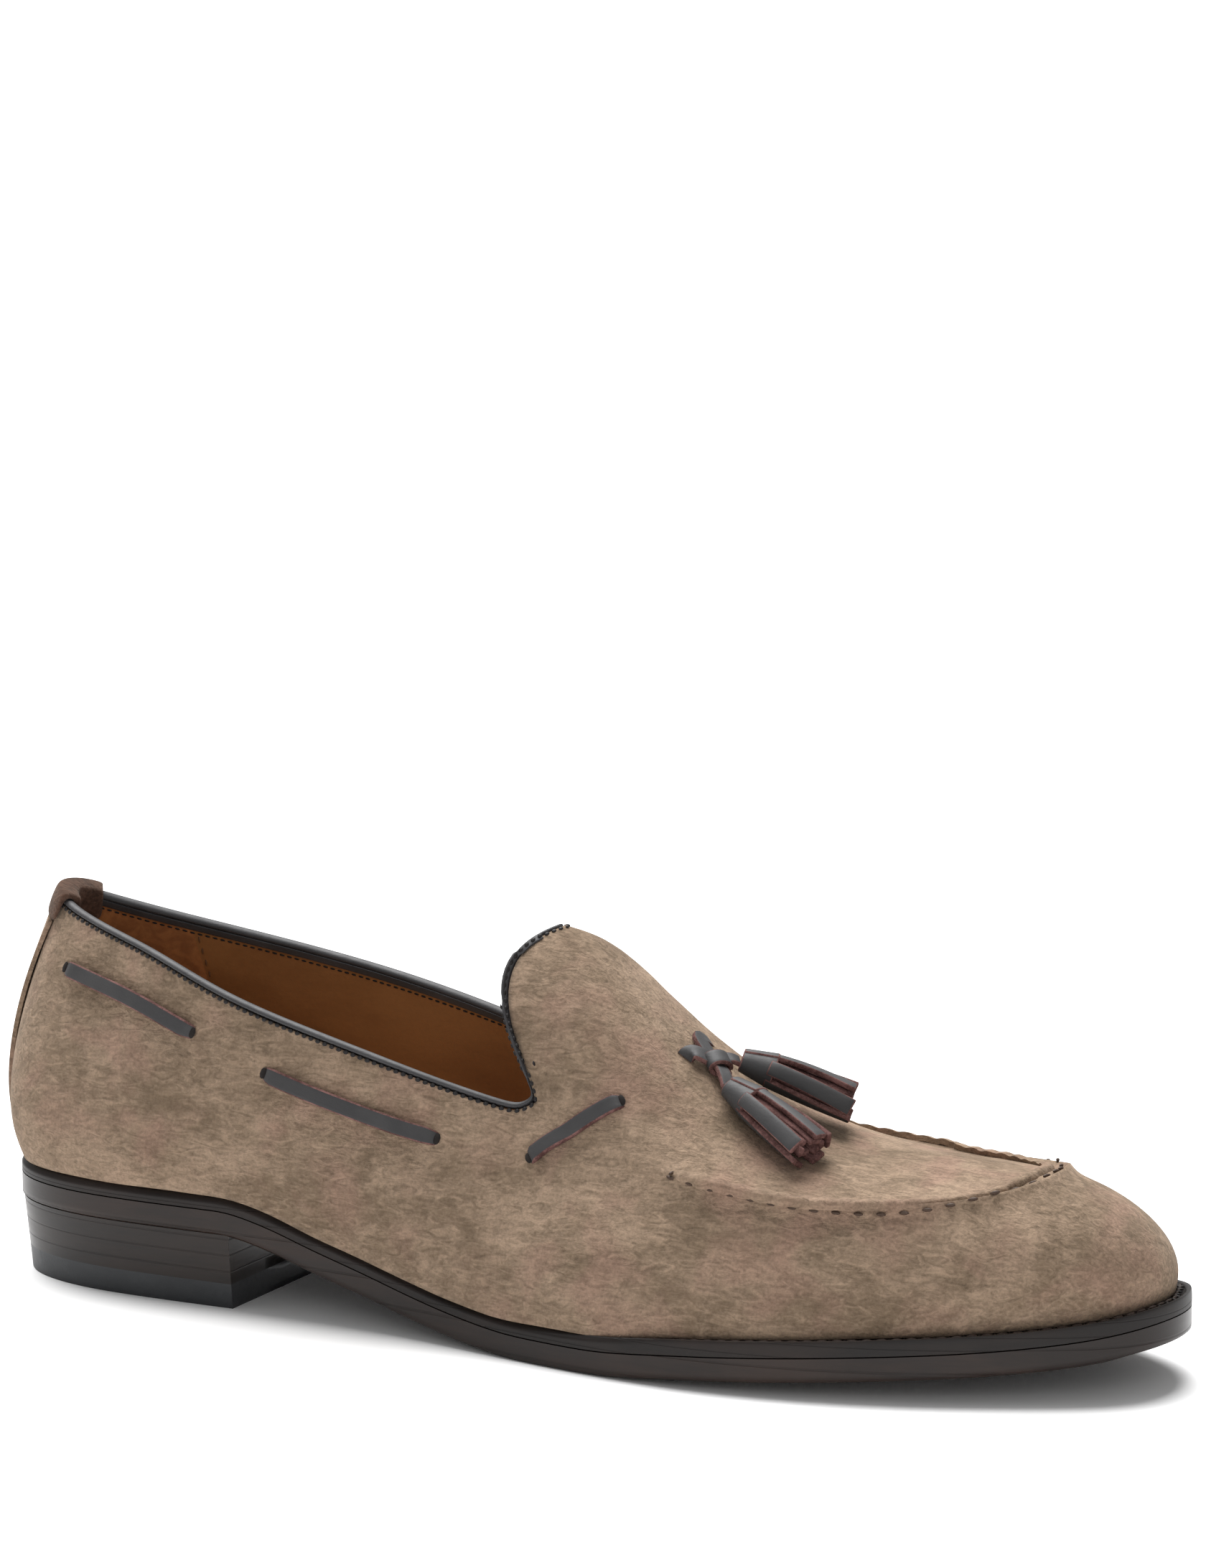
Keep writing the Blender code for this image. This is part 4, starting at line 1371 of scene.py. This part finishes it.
@dataclass
class Apron:
    """The pinched seam round the apron, with its hand stitches."""

    lines: LastLines
    upper: Upper
    wardrobe: Wardrobe
    width: float = 0.0034
    end_width: tuple[float, float] = (0.45, 0.55)
    height: float = 0.0014
    crown: float = 0.0013
    stand: float = 0.0006
    sink: float = 0.0004
    edge_round: float = 0.0004
    pitch: float = 0.0050
    steps_per_stitch: int = 6
    end_stitches: float = 1.6
    pinch: float = 0.18
    pinch_depth: float = 0.0016
    thread_length: float = 0.0024
    thread_width: float = 0.0009
    thread_stand: float = 0.0005
    thread_slant: float = 0.30
    end_stand: float = 0.0006
    foot_offset: float = 0.0019
    inset: float = 0.0009
    middle_x: float = 0.17

    def build(self) -> None:
        """Makes the ridge and its stitches."""
        stitches = round(path_length(self.lines.apron(300)) / self.pitch)
        line = self.lines.apron(stitches * self.steps_per_stitch + 1)
        points, ups, outs, widths, lifts = [], [], [], [], []
        last = len(line) - 1
        for index, point in enumerate(line):
            out = tangent(line, index).cross(Vector((0.0, 0.0, 1.0))).normalized()
            out = out if out.dot(point - Vector((self.middle_x, 0.0, point.z))) > 0 else -out
            outs.append(out)
            normal = self.upper.outward(point, out)
            place = self.upper.face_towards(point - out * self.inset, normal)
            faded = self.end_stitches * self.steps_per_stitch
            rise = math.sin(min(1.0, min(index, last - index) / faded) * math.pi / 2)
            phase = (index % self.steps_per_stitch) / self.steps_per_stitch
            dent = self.pinch * (0.5 + 0.5 * math.cos(2 * math.pi * phase)) ** 2
            height = self.stand * rise - self.sink - dent * self.pinch_depth
            points.append(place + normal * height)
            ups.append(normal)
            base, growth = self.end_width
            widths.append(self.width * (base + growth * rise) * (1 - dent))
            lifts.append(self.crown * rise)
        ridge = lay_strap("apron_ridge", points, ups, widths, self.height, self.edge_round, lifts)
        work(ridge, "SUBSURF", levels=1, render_levels=1)
        show(ridge, (self.wardrobe.suede,), (), 80)
        self.sew(line, points, ups, outs)

    def sew(self, line: Path, crest: Path, ups: Path, outs: Path) -> None:
        """Sews the ridge's outer foot, with one more stitch across it at each end.

        Args:
            line: the seam's points.
            crest: the ridge's points.
            ups: the way out of the shoe at each point.
            outs: the way across the seam, out of the apron, at each point.
        """
        frames = []
        last = len(line) - 1
        for index in range(0, last + 1, self.steps_per_stitch):
            along, out, normal = tangent(line, index), outs[index], ups[index]
            place = self.upper.face_towards(line[index] + out * self.foot_offset, normal)
            lean = along + out * self.thread_slant
            frames.append(frame_at(place + normal * self.thread_stand, lean, normal))
            if index in (0, last):
                frames.append(frame_at(crest[index] + normal * self.end_stand, out, normal))
        model = stitch_model(self.thread_length, self.thread_width, self.thread_width)
        threads = repeat_along("apron_stitches", model, frames)
        show(threads, (self.wardrobe.seam_thread,))


@dataclass
class HeelTrim:
    """The strip up the back, the fold of suede over the collar and the lining's grip seam."""

    upper: Upper
    wardrobe: Wardrobe
    levels: int = 3
    seam_x: float = -0.0010
    seam_top: float = 0.0795
    seam_foot: float = 0.034
    seam_lean: float = -0.10
    pitch: float = 0.0030
    stitch: Size = (0.0020, 0.0005, 0.0004)
    stand: float = 0.0001
    farthest: float = 0.04

    def build(self, nodes: Nodes) -> None:
        """Makes the trim pieces.

        Args:
            nodes: the CAD nodes by name.
        """
        strip = copy_node(nodes, "back_strip", "back_strip_suede")
        crease_corners(strip, 60)
        work(strip, "SUBSURF", levels=self.levels, render_levels=self.levels)
        show(strip, (self.wardrobe.suede,), ["back_strip"], 70)
        tab = copy_node(nodes, "heel_tab", "heel_tab_suede")
        work(tab, "SUBSURF", levels=self.levels, render_levels=self.levels)
        show(tab, (self.wardrobe.tab_suede,), ["heel_tab"], 80)
        self.sew_grip()

    def sew_grip(self) -> None:
        """Makes the stitches that hold the grip to the lining on both sides."""
        frames = []
        count = round((self.seam_top - self.seam_foot) / self.pitch)
        along = Vector((self.seam_lean, 0.0, 1.0))
        for side in Side:
            for k in range(count):
                z = self.seam_top - k * self.pitch
                x = self.seam_x + (z - self.seam_top) * self.seam_lean
                way = Vector((0.0, side.value, 0.0))
                hit, normal, _, _ = self.upper.tree.ray_cast(Vector((x, 0.0, z)), way)
                if hit is not None and abs(hit.y) < self.farthest:
                    frames.append(frame_at(hit + normal * self.stand, along, normal))
        row = repeat_along("grip_stitches", stitch_model(*self.stitch), frames)
        show(row, (self.wardrobe.tan_thread,))


# The lace


@dataclass
class Lace:
    """The visible lengths of the side lace, with dark blobs at their ends that paint the shadow
    inside the slits they pass through.
    """

    upper: Upper
    wardrobe: Wardrobe
    width: float = 0.0039
    thickness: float = 0.0014
    stand: float = 0.0003
    sections: int = 8
    points: int = 28
    dip_share: float = 0.07
    dip_power: float = 1.5
    dip_depth: float = 0.0022
    dip_narrowing: float = 0.22
    # size of the dark blob that paints the shadow inside each slit
    slit_shadow_size: Size = (0.0028, 0.0017, 0.0006)
    slit_inset: float = 0.0007
    slit_stand: float = 0.00002

    def build(self, nodes: Nodes) -> None:
        """Makes the three bars on each side and the painted shadows inside their slits.

        Args:
            nodes: the CAD nodes by name.
        """
        slits = []
        for bar in ("rear", "middle", "front"):
            for word in ("lateral", "medial"):
                node = f"lace_{bar}_{word}"
                slits += self.lay_bar(nodes[node], node)
        # Painted shadow: one dark blob at each bar's end stands for the shade inside its slit.
        slit_shadow_blobs = repeat_along("lace_slit_shadows", stitch_model(*self.slit_shadow_size), slits)
        show(slit_shadow_blobs, (self.wardrobe.slit_shadow,))

    def lay_bar(self, solid: bpy.types.Object, node: str) -> list[Matrix]:
        """Lays one bar over the upper.

        Args:
            solid: the bar's CAD node.
            node: the node's name.

        Returns:
            The frames of the painted shadows inside the bar's two slits.
        """
        path = smooth_path(sections_of(solid, self.sections), self.points)
        last = len(path) - 1
        points, ups, widths = [], [], []
        for index, point in enumerate(path):
            near, normal = self.upper.nearest(point)
            dip = max(0.0, 1 - min(index, last - index) / last / self.dip_share)
            height = self.stand + self.thickness - dip ** self.dip_power * self.dip_depth
            points.append(near + normal * height)
            ups.append(normal)
            widths.append(self.width * (1 - self.dip_narrowing * dip))
        band = lay_strap(node + "_band", points, ups, widths, self.thickness)
        show(band, (self.wardrobe.strap, self.wardrobe.raw_edge), [node], 50)
        slits = []
        # Painted shadow: frames for the dark blobs just inside each end, where the bar goes into
        # its slit.
        for index, towards in ((0, 1), (last, last - 1)):
            near, normal = self.upper.nearest(points[index])
            along = (points[towards] - points[index]).normalized()
            place = near + along * self.slit_inset + normal * self.slit_stand
            slits.append(frame_at(place, normal.cross(along), normal))
        return slits


@dataclass
class Knot:
    """The knot on the vamp's ridge: two straps from their slots, a wrap and two short ends."""

    upper: Upper
    wardrobe: Wardrobe
    heart: Vector
    caps: dict[str, Vector]
    near_route: tuple[Point, ...] = ((0.1425, -0.0100, 0.0665), (0.1448, -0.0088, 0.0682))
    near_width: float = 0.0040
    far_route: tuple[Point, ...] = (
        (0.1425, 0.0080, 0.0645), (0.1420, 0.0040, 0.0680), (0.1425, -0.0010, 0.0695),
    )
    far_width: float = 0.0036
    end_width: float = 0.0034
    end_rise: float = 0.0012
    thickness: float = 0.0012
    steps: int = 12
    wrap_axis: Point = (0.62, -0.50, -0.35)
    wrap_steps: int = 22
    wrap_turn: float = 0.97
    wrap_radius: float = 0.0027
    wrap_across: float = 1.25
    wrap_up: float = 0.85
    wrap_slide: float = 0.0010
    wrap_width: float = 0.0044
    wrap_thickness: float = 0.0011

    def build(self) -> None:
        """Makes the straps, the wrap and the ends as one piece of leather."""
        parts = [
            self.lay("near_strap", [*self.near_route, self.heart], self.near_width),
            self.lay("far_strap", [*self.far_route, self.heart], self.far_width),
            self.wrap(),
        ]
        for word, cap in self.caps.items():
            middle = (self.heart + cap) / 2 + Vector((0.0, 0.0, self.end_rise))
            parts.append(self.lay(word + "_end", [self.heart, middle, cap], self.end_width))
        materials = (self.wardrobe.strap, self.wardrobe.raw_edge)
        knot = join_parts("lace_knot_leather", parts, materials)
        show(knot, materials, ["lace_knot"], 50)

    def lay(self, name: str, places: Sequence, width: float) -> bpy.types.Object:
        """Lays a short strap through a few places, facing out of the upper.

        Args:
            name: the strap's name.
            places: the places in order.
            width: the strap's width.

        Returns:
            The strap.
        """
        path = smooth_path([Vector(tuple(p)) for p in places], self.steps)
        ups = [self.upper.nearest(p)[1] for p in path]
        return lay_strap(name, path, ups, [width] * len(path), self.thickness)

    def wrap(self) -> bpy.types.Object:
        """Makes the turn of lace round the knot.

        Returns:
            The turn as a strap.
        """
        _, up = self.upper.nearest(self.heart)
        axis = Vector(self.wrap_axis)
        axis = (axis - up * axis.dot(up)).normalized()
        across = up.cross(axis)
        points, ups = [], []
        for k in range(self.wrap_steps):
            angle = 2 * math.pi * k / (self.wrap_steps - 1) * self.wrap_turn
            side = across * math.cos(angle) * self.wrap_across
            out = side + up * math.sin(angle) * self.wrap_up
            slide = axis * (k / self.wrap_steps - 0.5) * self.wrap_slide
            points.append(self.heart + out * self.wrap_radius + slide)
            ups.append(out)
        widths = [self.wrap_width] * self.wrap_steps
        return lay_strap("wrap", points, ups, widths, self.wrap_thickness)


@dataclass
class Tassel:
    """One tassel: a rolled cap with its slit, and cut strips that fan out of it."""

    word: str
    wardrobe: Wardrobe
    seed: int
    cap_length: float = 0.0082
    cap_radius: float = 0.0041
    cap_taper: float = 0.20
    cap_flat: float = 0.86
    cap_steps: int = 40
    cap_turn: float = 1.14
    cap_start: float = 0.9
    cap_coil: tuple[float, float] = (0.90, 0.12)
    cap_thickness: float = 0.0010
    cap_edge: float = 0.0003
    fan: float = 1.70
    end_flat: float = 0.56
    strips: int = 5
    inner_strips: int = 9
    inner_ring: float = 0.6
    inner_reach: float = 0.96
    inner_width: float = 0.55
    strip_steps: int = 12
    strip_root: float = 0.80
    strip_width: float = 0.0040
    strip_widening: float = 0.12
    strip_thickness: float = 0.0013
    strip_edge: float = 0.00028
    strip_bulge: float = 0.06
    strip_crown: float = 0.0005
    crown_fade: float = 0.6
    face_flat: tuple[float, float] = (0.35, 0.65)
    fan_range: tuple[float, float] = (-0.10, 0.06)
    reach_range: tuple[float, float] = (-0.055, 0.02)
    swing_range: tuple[float, float] = (-0.24, 0.24)
    width_range: tuple[float, float] = (0.86, 1.08)
    gravity: float = 0.0008
    start: Vector = field(init=False)
    length: float = field(init=False)
    along: Vector = field(init=False)
    up: Vector = field(init=False)
    across: Vector = field(init=False)

    def build(self, start: Vector, end: Vector, floor: Upper) -> None:
        """Makes the tassel along its line.

        Args:
            start: where the cap begins.
            end: where the strips end.
            floor: the upper, which the strips lie over.
        """
        self.start = start
        self.length = (end - start).length
        self.along = (end - start).normalized()
        _, normal = floor.nearest((start + end) / 2)
        self.up = (normal - self.along * normal.dot(self.along)).normalized()
        self.across = self.up.cross(self.along)
        parts = [self.roll_cap()]
        rng = np.random.default_rng(self.seed)
        for count, ring in ((self.strips, 1.0), (self.inner_strips, self.inner_ring)):
            for k in range(count):
                angle = 2 * math.pi * (k + 0.5 * (ring < 1)) / count
                parts.append(self.cut_strip(angle, ring, rng))
        materials = (self.wardrobe.strap, self.wardrobe.raw_edge)
        tassel = join_parts(f"tassel_{self.word}_leather", parts, materials)
        show(tassel, materials, ["tassel_" + self.word], 50)

    def ring_point(self, angle: float, along: float, radius: float, flat: float) -> Vector:
        """A point round the tassel's line.

        Args:
            angle: where it stands round the line.
            along: how far along the line.
            radius: how far from the line.
            flat: the ring's height as a share of its width.

        Returns:
            The point.
        """
        out = self.across * math.cos(angle) * radius + self.up * math.sin(angle) * radius * flat
        return self.start + self.along * along + out

    def roll_cap(self) -> bpy.types.Object:
        """Rolls the sheet round the strips' root, with its overlap on top.

        Returns:
            The cap as a strap.
        """
        points, ups = [], []
        first, growth = self.cap_coil
        for k in range(self.cap_steps):
            angle = 2 * math.pi * k / (self.cap_steps - 1) * self.cap_turn + self.cap_start
            radius = self.cap_radius * (first + growth * k / self.cap_steps)
            points.append(self.ring_point(angle, self.cap_length / 2, radius, self.cap_flat))
            ups.append(self.ring_point(angle, -self.cap_taper, 1.0, 1.0) - self.start)
        name, widths = self.word + "_cap", [self.cap_length] * self.cap_steps
        return lay_strap(name, points, ups, widths, self.cap_thickness, self.cap_edge)

    def cut_strip(self, angle: float, ring: float, rng: np.random.Generator) -> bpy.types.Object:
        """Cuts one strip from inside the cap to the fan's edge.

        Args:
            angle: where it stands round the tassel's line.
            ring: its distance from the line as a share of the outer strips'.
            rng: the source of its small irregularities.

        Returns:
            The strip, whose back and edges are raw.
        """
        outer = ring == 1.0
        begin = self.cap_length * self.strip_root
        spread = self.fan * (1 + rng.uniform(*self.fan_range))
        reach = self.length * (1 + rng.uniform(*self.reach_range))
        reach *= 1.0 if outer else self.inner_reach
        swing = rng.uniform(*self.swing_range)
        width = self.strip_width * (rng.uniform(*self.width_range) if outer else self.inner_width)
        face, face_growth = self.face_flat
        points, ups, widths, lifts = [], [], [], []
        for k in range(self.strip_steps):
            share = k / (self.strip_steps - 1)
            bulge = self.strip_bulge * math.sin(math.pi * share)
            radius = self.cap_radius * ring * (1 + (spread - 1) * share + bulge)
            flat = self.cap_flat + (self.end_flat - self.cap_flat) * share
            turn = angle + swing * share
            place = self.ring_point(turn, begin + (reach - begin) * share, radius, flat)
            points.append(place - Vector((0.0, 0.0, self.gravity)) * share ** 2)
            facing = self.ring_point(turn, 0.0, 1.0, 1.0 / (face + face_growth * flat))
            ups.append(facing - self.start)
            widths.append(width * (1.0 + self.strip_widening * share))
            lifts.append(self.strip_crown * ring * (1 - self.crown_fade * share))
        name, thickness = f"{self.word}_strip", self.strip_thickness
        strip = lay_strap(name, points, ups, widths, thickness, self.strip_edge, lifts)
        if not outer:
            strip.data.polygons.foreach_set("material_index", [1] * len(strip.data.polygons))
        return strip


# The bottom


@dataclass
class Bottom:
    """Outsole, welt, heel and insole, with the welt's stitches and wheel marks."""

    wardrobe: Wardrobe
    corner_angle: float = 34.0
    hub: float = 0.110
    edge_parts: int = 90
    edge_points: int = 400
    edge_band: float = 0.0004
    stitch: Size = (0.0026, 0.0008, 0.0007)
    stitch_pitch: float = 0.0034
    stitch_start: float = 0.108
    stitch_stand: float = 0.00012
    ledge_inset: float = 0.0023
    ledge_drop: float = 0.0006
    mark: Size = (0.0024, 0.0007, 0.0006)

    def build(self, nodes: Nodes) -> None:
        """Makes the bottom's pieces.

        Args:
            nodes: the CAD nodes by name.
        """
        plan = (
            ("outsole", "outsole_edge", self.wardrobe.sole_edge, "sole_edge"),
            ("welt", "welt_edge", self.wardrobe.welt, "welt_leather"),
            ("heel_stack", "heel_layers", self.wardrobe.heel_edge, "heel_stack"),
            ("top_lift", "heel_lift", self.wardrobe.lift, "lift_rubber"),
            ("insole", "insole_sock", self.wardrobe.insole, "insole_leather"),
        )
        for node, name, material, slot in plan:
            piece = copy_node(nodes, node, name)
            crease_corners(piece, self.corner_angle)
            work(piece, "SUBSURF", levels=2, render_levels=2)
            show(piece, (material,), [node], self.corner_angle)
        self.sew_welt(nodes)

    def welt_edge(self, nodes: Nodes) -> Path:
        """Finds the welt's top outer edge as its outermost points round the shoe.

        Args:
            nodes: the CAD nodes by name.

        Returns:
            The edge's points, closed.
        """
        places = np.unique(np.round([tuple(v.co) for v in nodes["welt"].data.vertices], 6), axis=0)
        angles = np.arctan2(places[:, 1], places[:, 0] - self.hub)
        reach = np.hypot(places[:, 1], places[:, 0] - self.hub)
        part = 2 * math.pi / self.edge_parts
        edge = []
        for k in range(self.edge_parts):
            low = -math.pi + 2 * math.pi * k / self.edge_parts
            inside = np.where((angles >= low) & (angles < low + part))[0]
            if len(inside):
                far = inside[reach[inside] > reach[inside].max() - self.edge_band]
                best = far[np.argmax(places[far, 2])]
                edge.append(Vector(places[best]))
        return even_path(edge, self.edge_points, closed=True)

    def sew_welt(self, nodes: Nodes) -> None:
        """Makes the lockstitches along the welt's ledge, with the wheel's marks between them.

        Args:
            nodes: the CAD nodes by name.
        """
        edge = self.welt_edge(nodes)
        edge = even_path(edge, round(path_length(edge, True) / self.stitch_pitch), closed=True)
        stitches, marks = [], []
        for index, point in enumerate(edge):
            if point.x < self.stitch_start:
                continue
            along = tangent(edge, index, True)
            inward = Vector((0.0, 0.0, 1.0)).cross(along)
            if inward.dot(Vector((self.hub, 0.0, point.z)) - point) < 0:
                inward = -inward
            up = along.cross(inward)
            up = up if up.z > 0 else -up
            place = point + inward * self.ledge_inset - up * self.ledge_drop
            stitches.append(frame_at(place + up * self.stitch_stand, along, up))
            marks.append(frame_at(place + along * self.stitch_pitch / 2, inward, up))
        thread = repeat_along("welt_stitches", stitch_model(*self.stitch), stitches)
        show(thread, (self.wardrobe.brown_thread,))
        wheel = repeat_along("welt_wheel_marks", stitch_model(*self.mark), marks)
        show(wheel, (self.wardrobe.welt,))


# Studio


@dataclass(frozen=True)
class Studio:
    """The floor, the lights and the camera of the photograph."""

    target: Point = (0.113, 0.0, 0.040)
    distance: float = 1.6
    azimuth: float = 26.553
    elevation: float = 13.005
    lens: float = 157.87
    shift: tuple[float, float] = (0.00927, 0.2326)
    floor_side: float = 14.0
    sky: float = 0.38
    key_place: Point = (-0.30, 0.36, 1.0)
    key_strength: float = 5.9
    key_angle: float = 46.0
    fill_place: Point = (0.75, -1.25, 0.55)
    fill_target: Point = (0.10, 0.0, 0.04)
    fill_side: float = 0.9
    fill_power: float = 3.0

    def build(self) -> None:
        """Sets up the studio."""
        scene = bpy.context.scene
        scene.view_settings.view_transform = "Standard"
        scene.view_settings.look = "None"
        self.place_camera()
        self.lay_floor()
        self.hang_key()
        self.hang_fill()
        world = scene.world or bpy.data.worlds.new("studio_air")
        scene.world = world
        world.use_nodes = True
        sky = world.node_tree.nodes["Background"]
        sky.inputs["Color"].default_value = (1.0, 1.0, 1.0, 1.0)
        sky.inputs["Strength"].default_value = self.sky

    def place_camera(self) -> None:
        """Puts the camera where the photograph was taken from."""
        a, e = math.radians(self.azimuth), math.radians(self.elevation)
        back = Vector((math.sin(a) * math.cos(e), -math.cos(a) * math.cos(e), math.sin(e)))
        deselect_all()
        bpy.ops.object.camera_add(location=Vector(self.target) + back * self.distance)
        camera = bpy.context.object
        camera.rotation_euler = (-back).to_track_quat("-Z", "Y").to_euler()
        camera.data.lens = self.lens
        camera.data.shift_x, camera.data.shift_y = self.shift
        bpy.context.scene.camera = camera

    def lay_floor(self) -> None:
        """Lays the pale floor, wide enough to fill the view."""
        deselect_all()
        bpy.ops.mesh.primitive_plane_add(size=self.floor_side)
        floor = bpy.context.object
        floor.name = "studio_floor"
        floor.data.materials.append(StudioPaper().material("studio_paper"))

    def hang_key(self) -> None:
        """Hangs the broad soft light from above, which whitens the whole floor evenly."""
        deselect_all()
        bpy.ops.object.light_add(type="SUN", location=self.key_place)
        key = bpy.context.object
        key.name = "key_light"
        key.data.energy = self.key_strength
        key.data.angle = math.radians(self.key_angle)
        key.rotation_euler = (-Vector(self.key_place)).to_track_quat("-Z", "Y").to_euler()

    def hang_fill(self) -> None:
        """Hangs the square soft light that looks at the shoe's near side."""
        deselect_all()
        bpy.ops.object.light_add(type="AREA", location=self.fill_place)
        light = bpy.context.object
        light.name = "fill_light"
        light.data.size = self.fill_side
        light.data.energy = self.fill_power
        towards = Vector(self.fill_target) - Vector(self.fill_place)
        light.rotation_euler = towards.to_track_quat("-Z", "Y").to_euler()


@dataclass
class Loafer:
    """The whole shoe, put together piece by piece."""

    nodes: Nodes
    lines: LastLines = field(default_factory=LastLines)
    tassel_sections: int = 7
    first_seed: int = 3
    heart_shift: Point = (0.0008, -0.0062, -0.0042)

    def ends_of(self, node: str) -> tuple[Vector, Vector]:
        """The two ends of a tassel's solid, cap first."""
        centres = sections_of(self.nodes[node], self.tassel_sections)
        return centres[0], centres[-1]

    def knot_heart(self) -> Vector:
        """Finds the middle of the knot from its solid's box.

        Returns:
            The middle.
        """
        low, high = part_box("lace_knot")
        x, y, z = self.heart_shift
        return Vector(((low.x + high.x) / 2 + x, y, high.z + z))

    def build(self) -> None:
        """Makes every sub-assembly."""
        wardrobe = Wardrobe()
        upper = Upper(self.lines, wardrobe)
        upper.build(self.nodes)
        Topline(self.lines, upper, wardrobe).build(self.nodes)
        Apron(self.lines, upper, wardrobe).build()
        HeelTrim(upper, wardrobe).build(self.nodes)
        Lace(upper, wardrobe).build(self.nodes)
        caps = {}
        for seed, word in enumerate(("lateral", "medial"), self.first_seed):
            start, end = self.ends_of("tassel_" + word)
            Tassel(word, wardrobe, seed).build(start, end, upper)
            caps[word] = start
        Knot(upper, wardrobe, self.knot_heart(), caps).build()
        Bottom(wardrobe).build(self.nodes)


def main() -> None:
    """Builds the studio and the shoe."""
    logging.basicConfig(level=logging.INFO, format="%(name)s: %(message)s")
    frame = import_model()
    Studio().build()
    Loafer(frame["nodes"]).build()


if __name__ == "__main__":
    main()
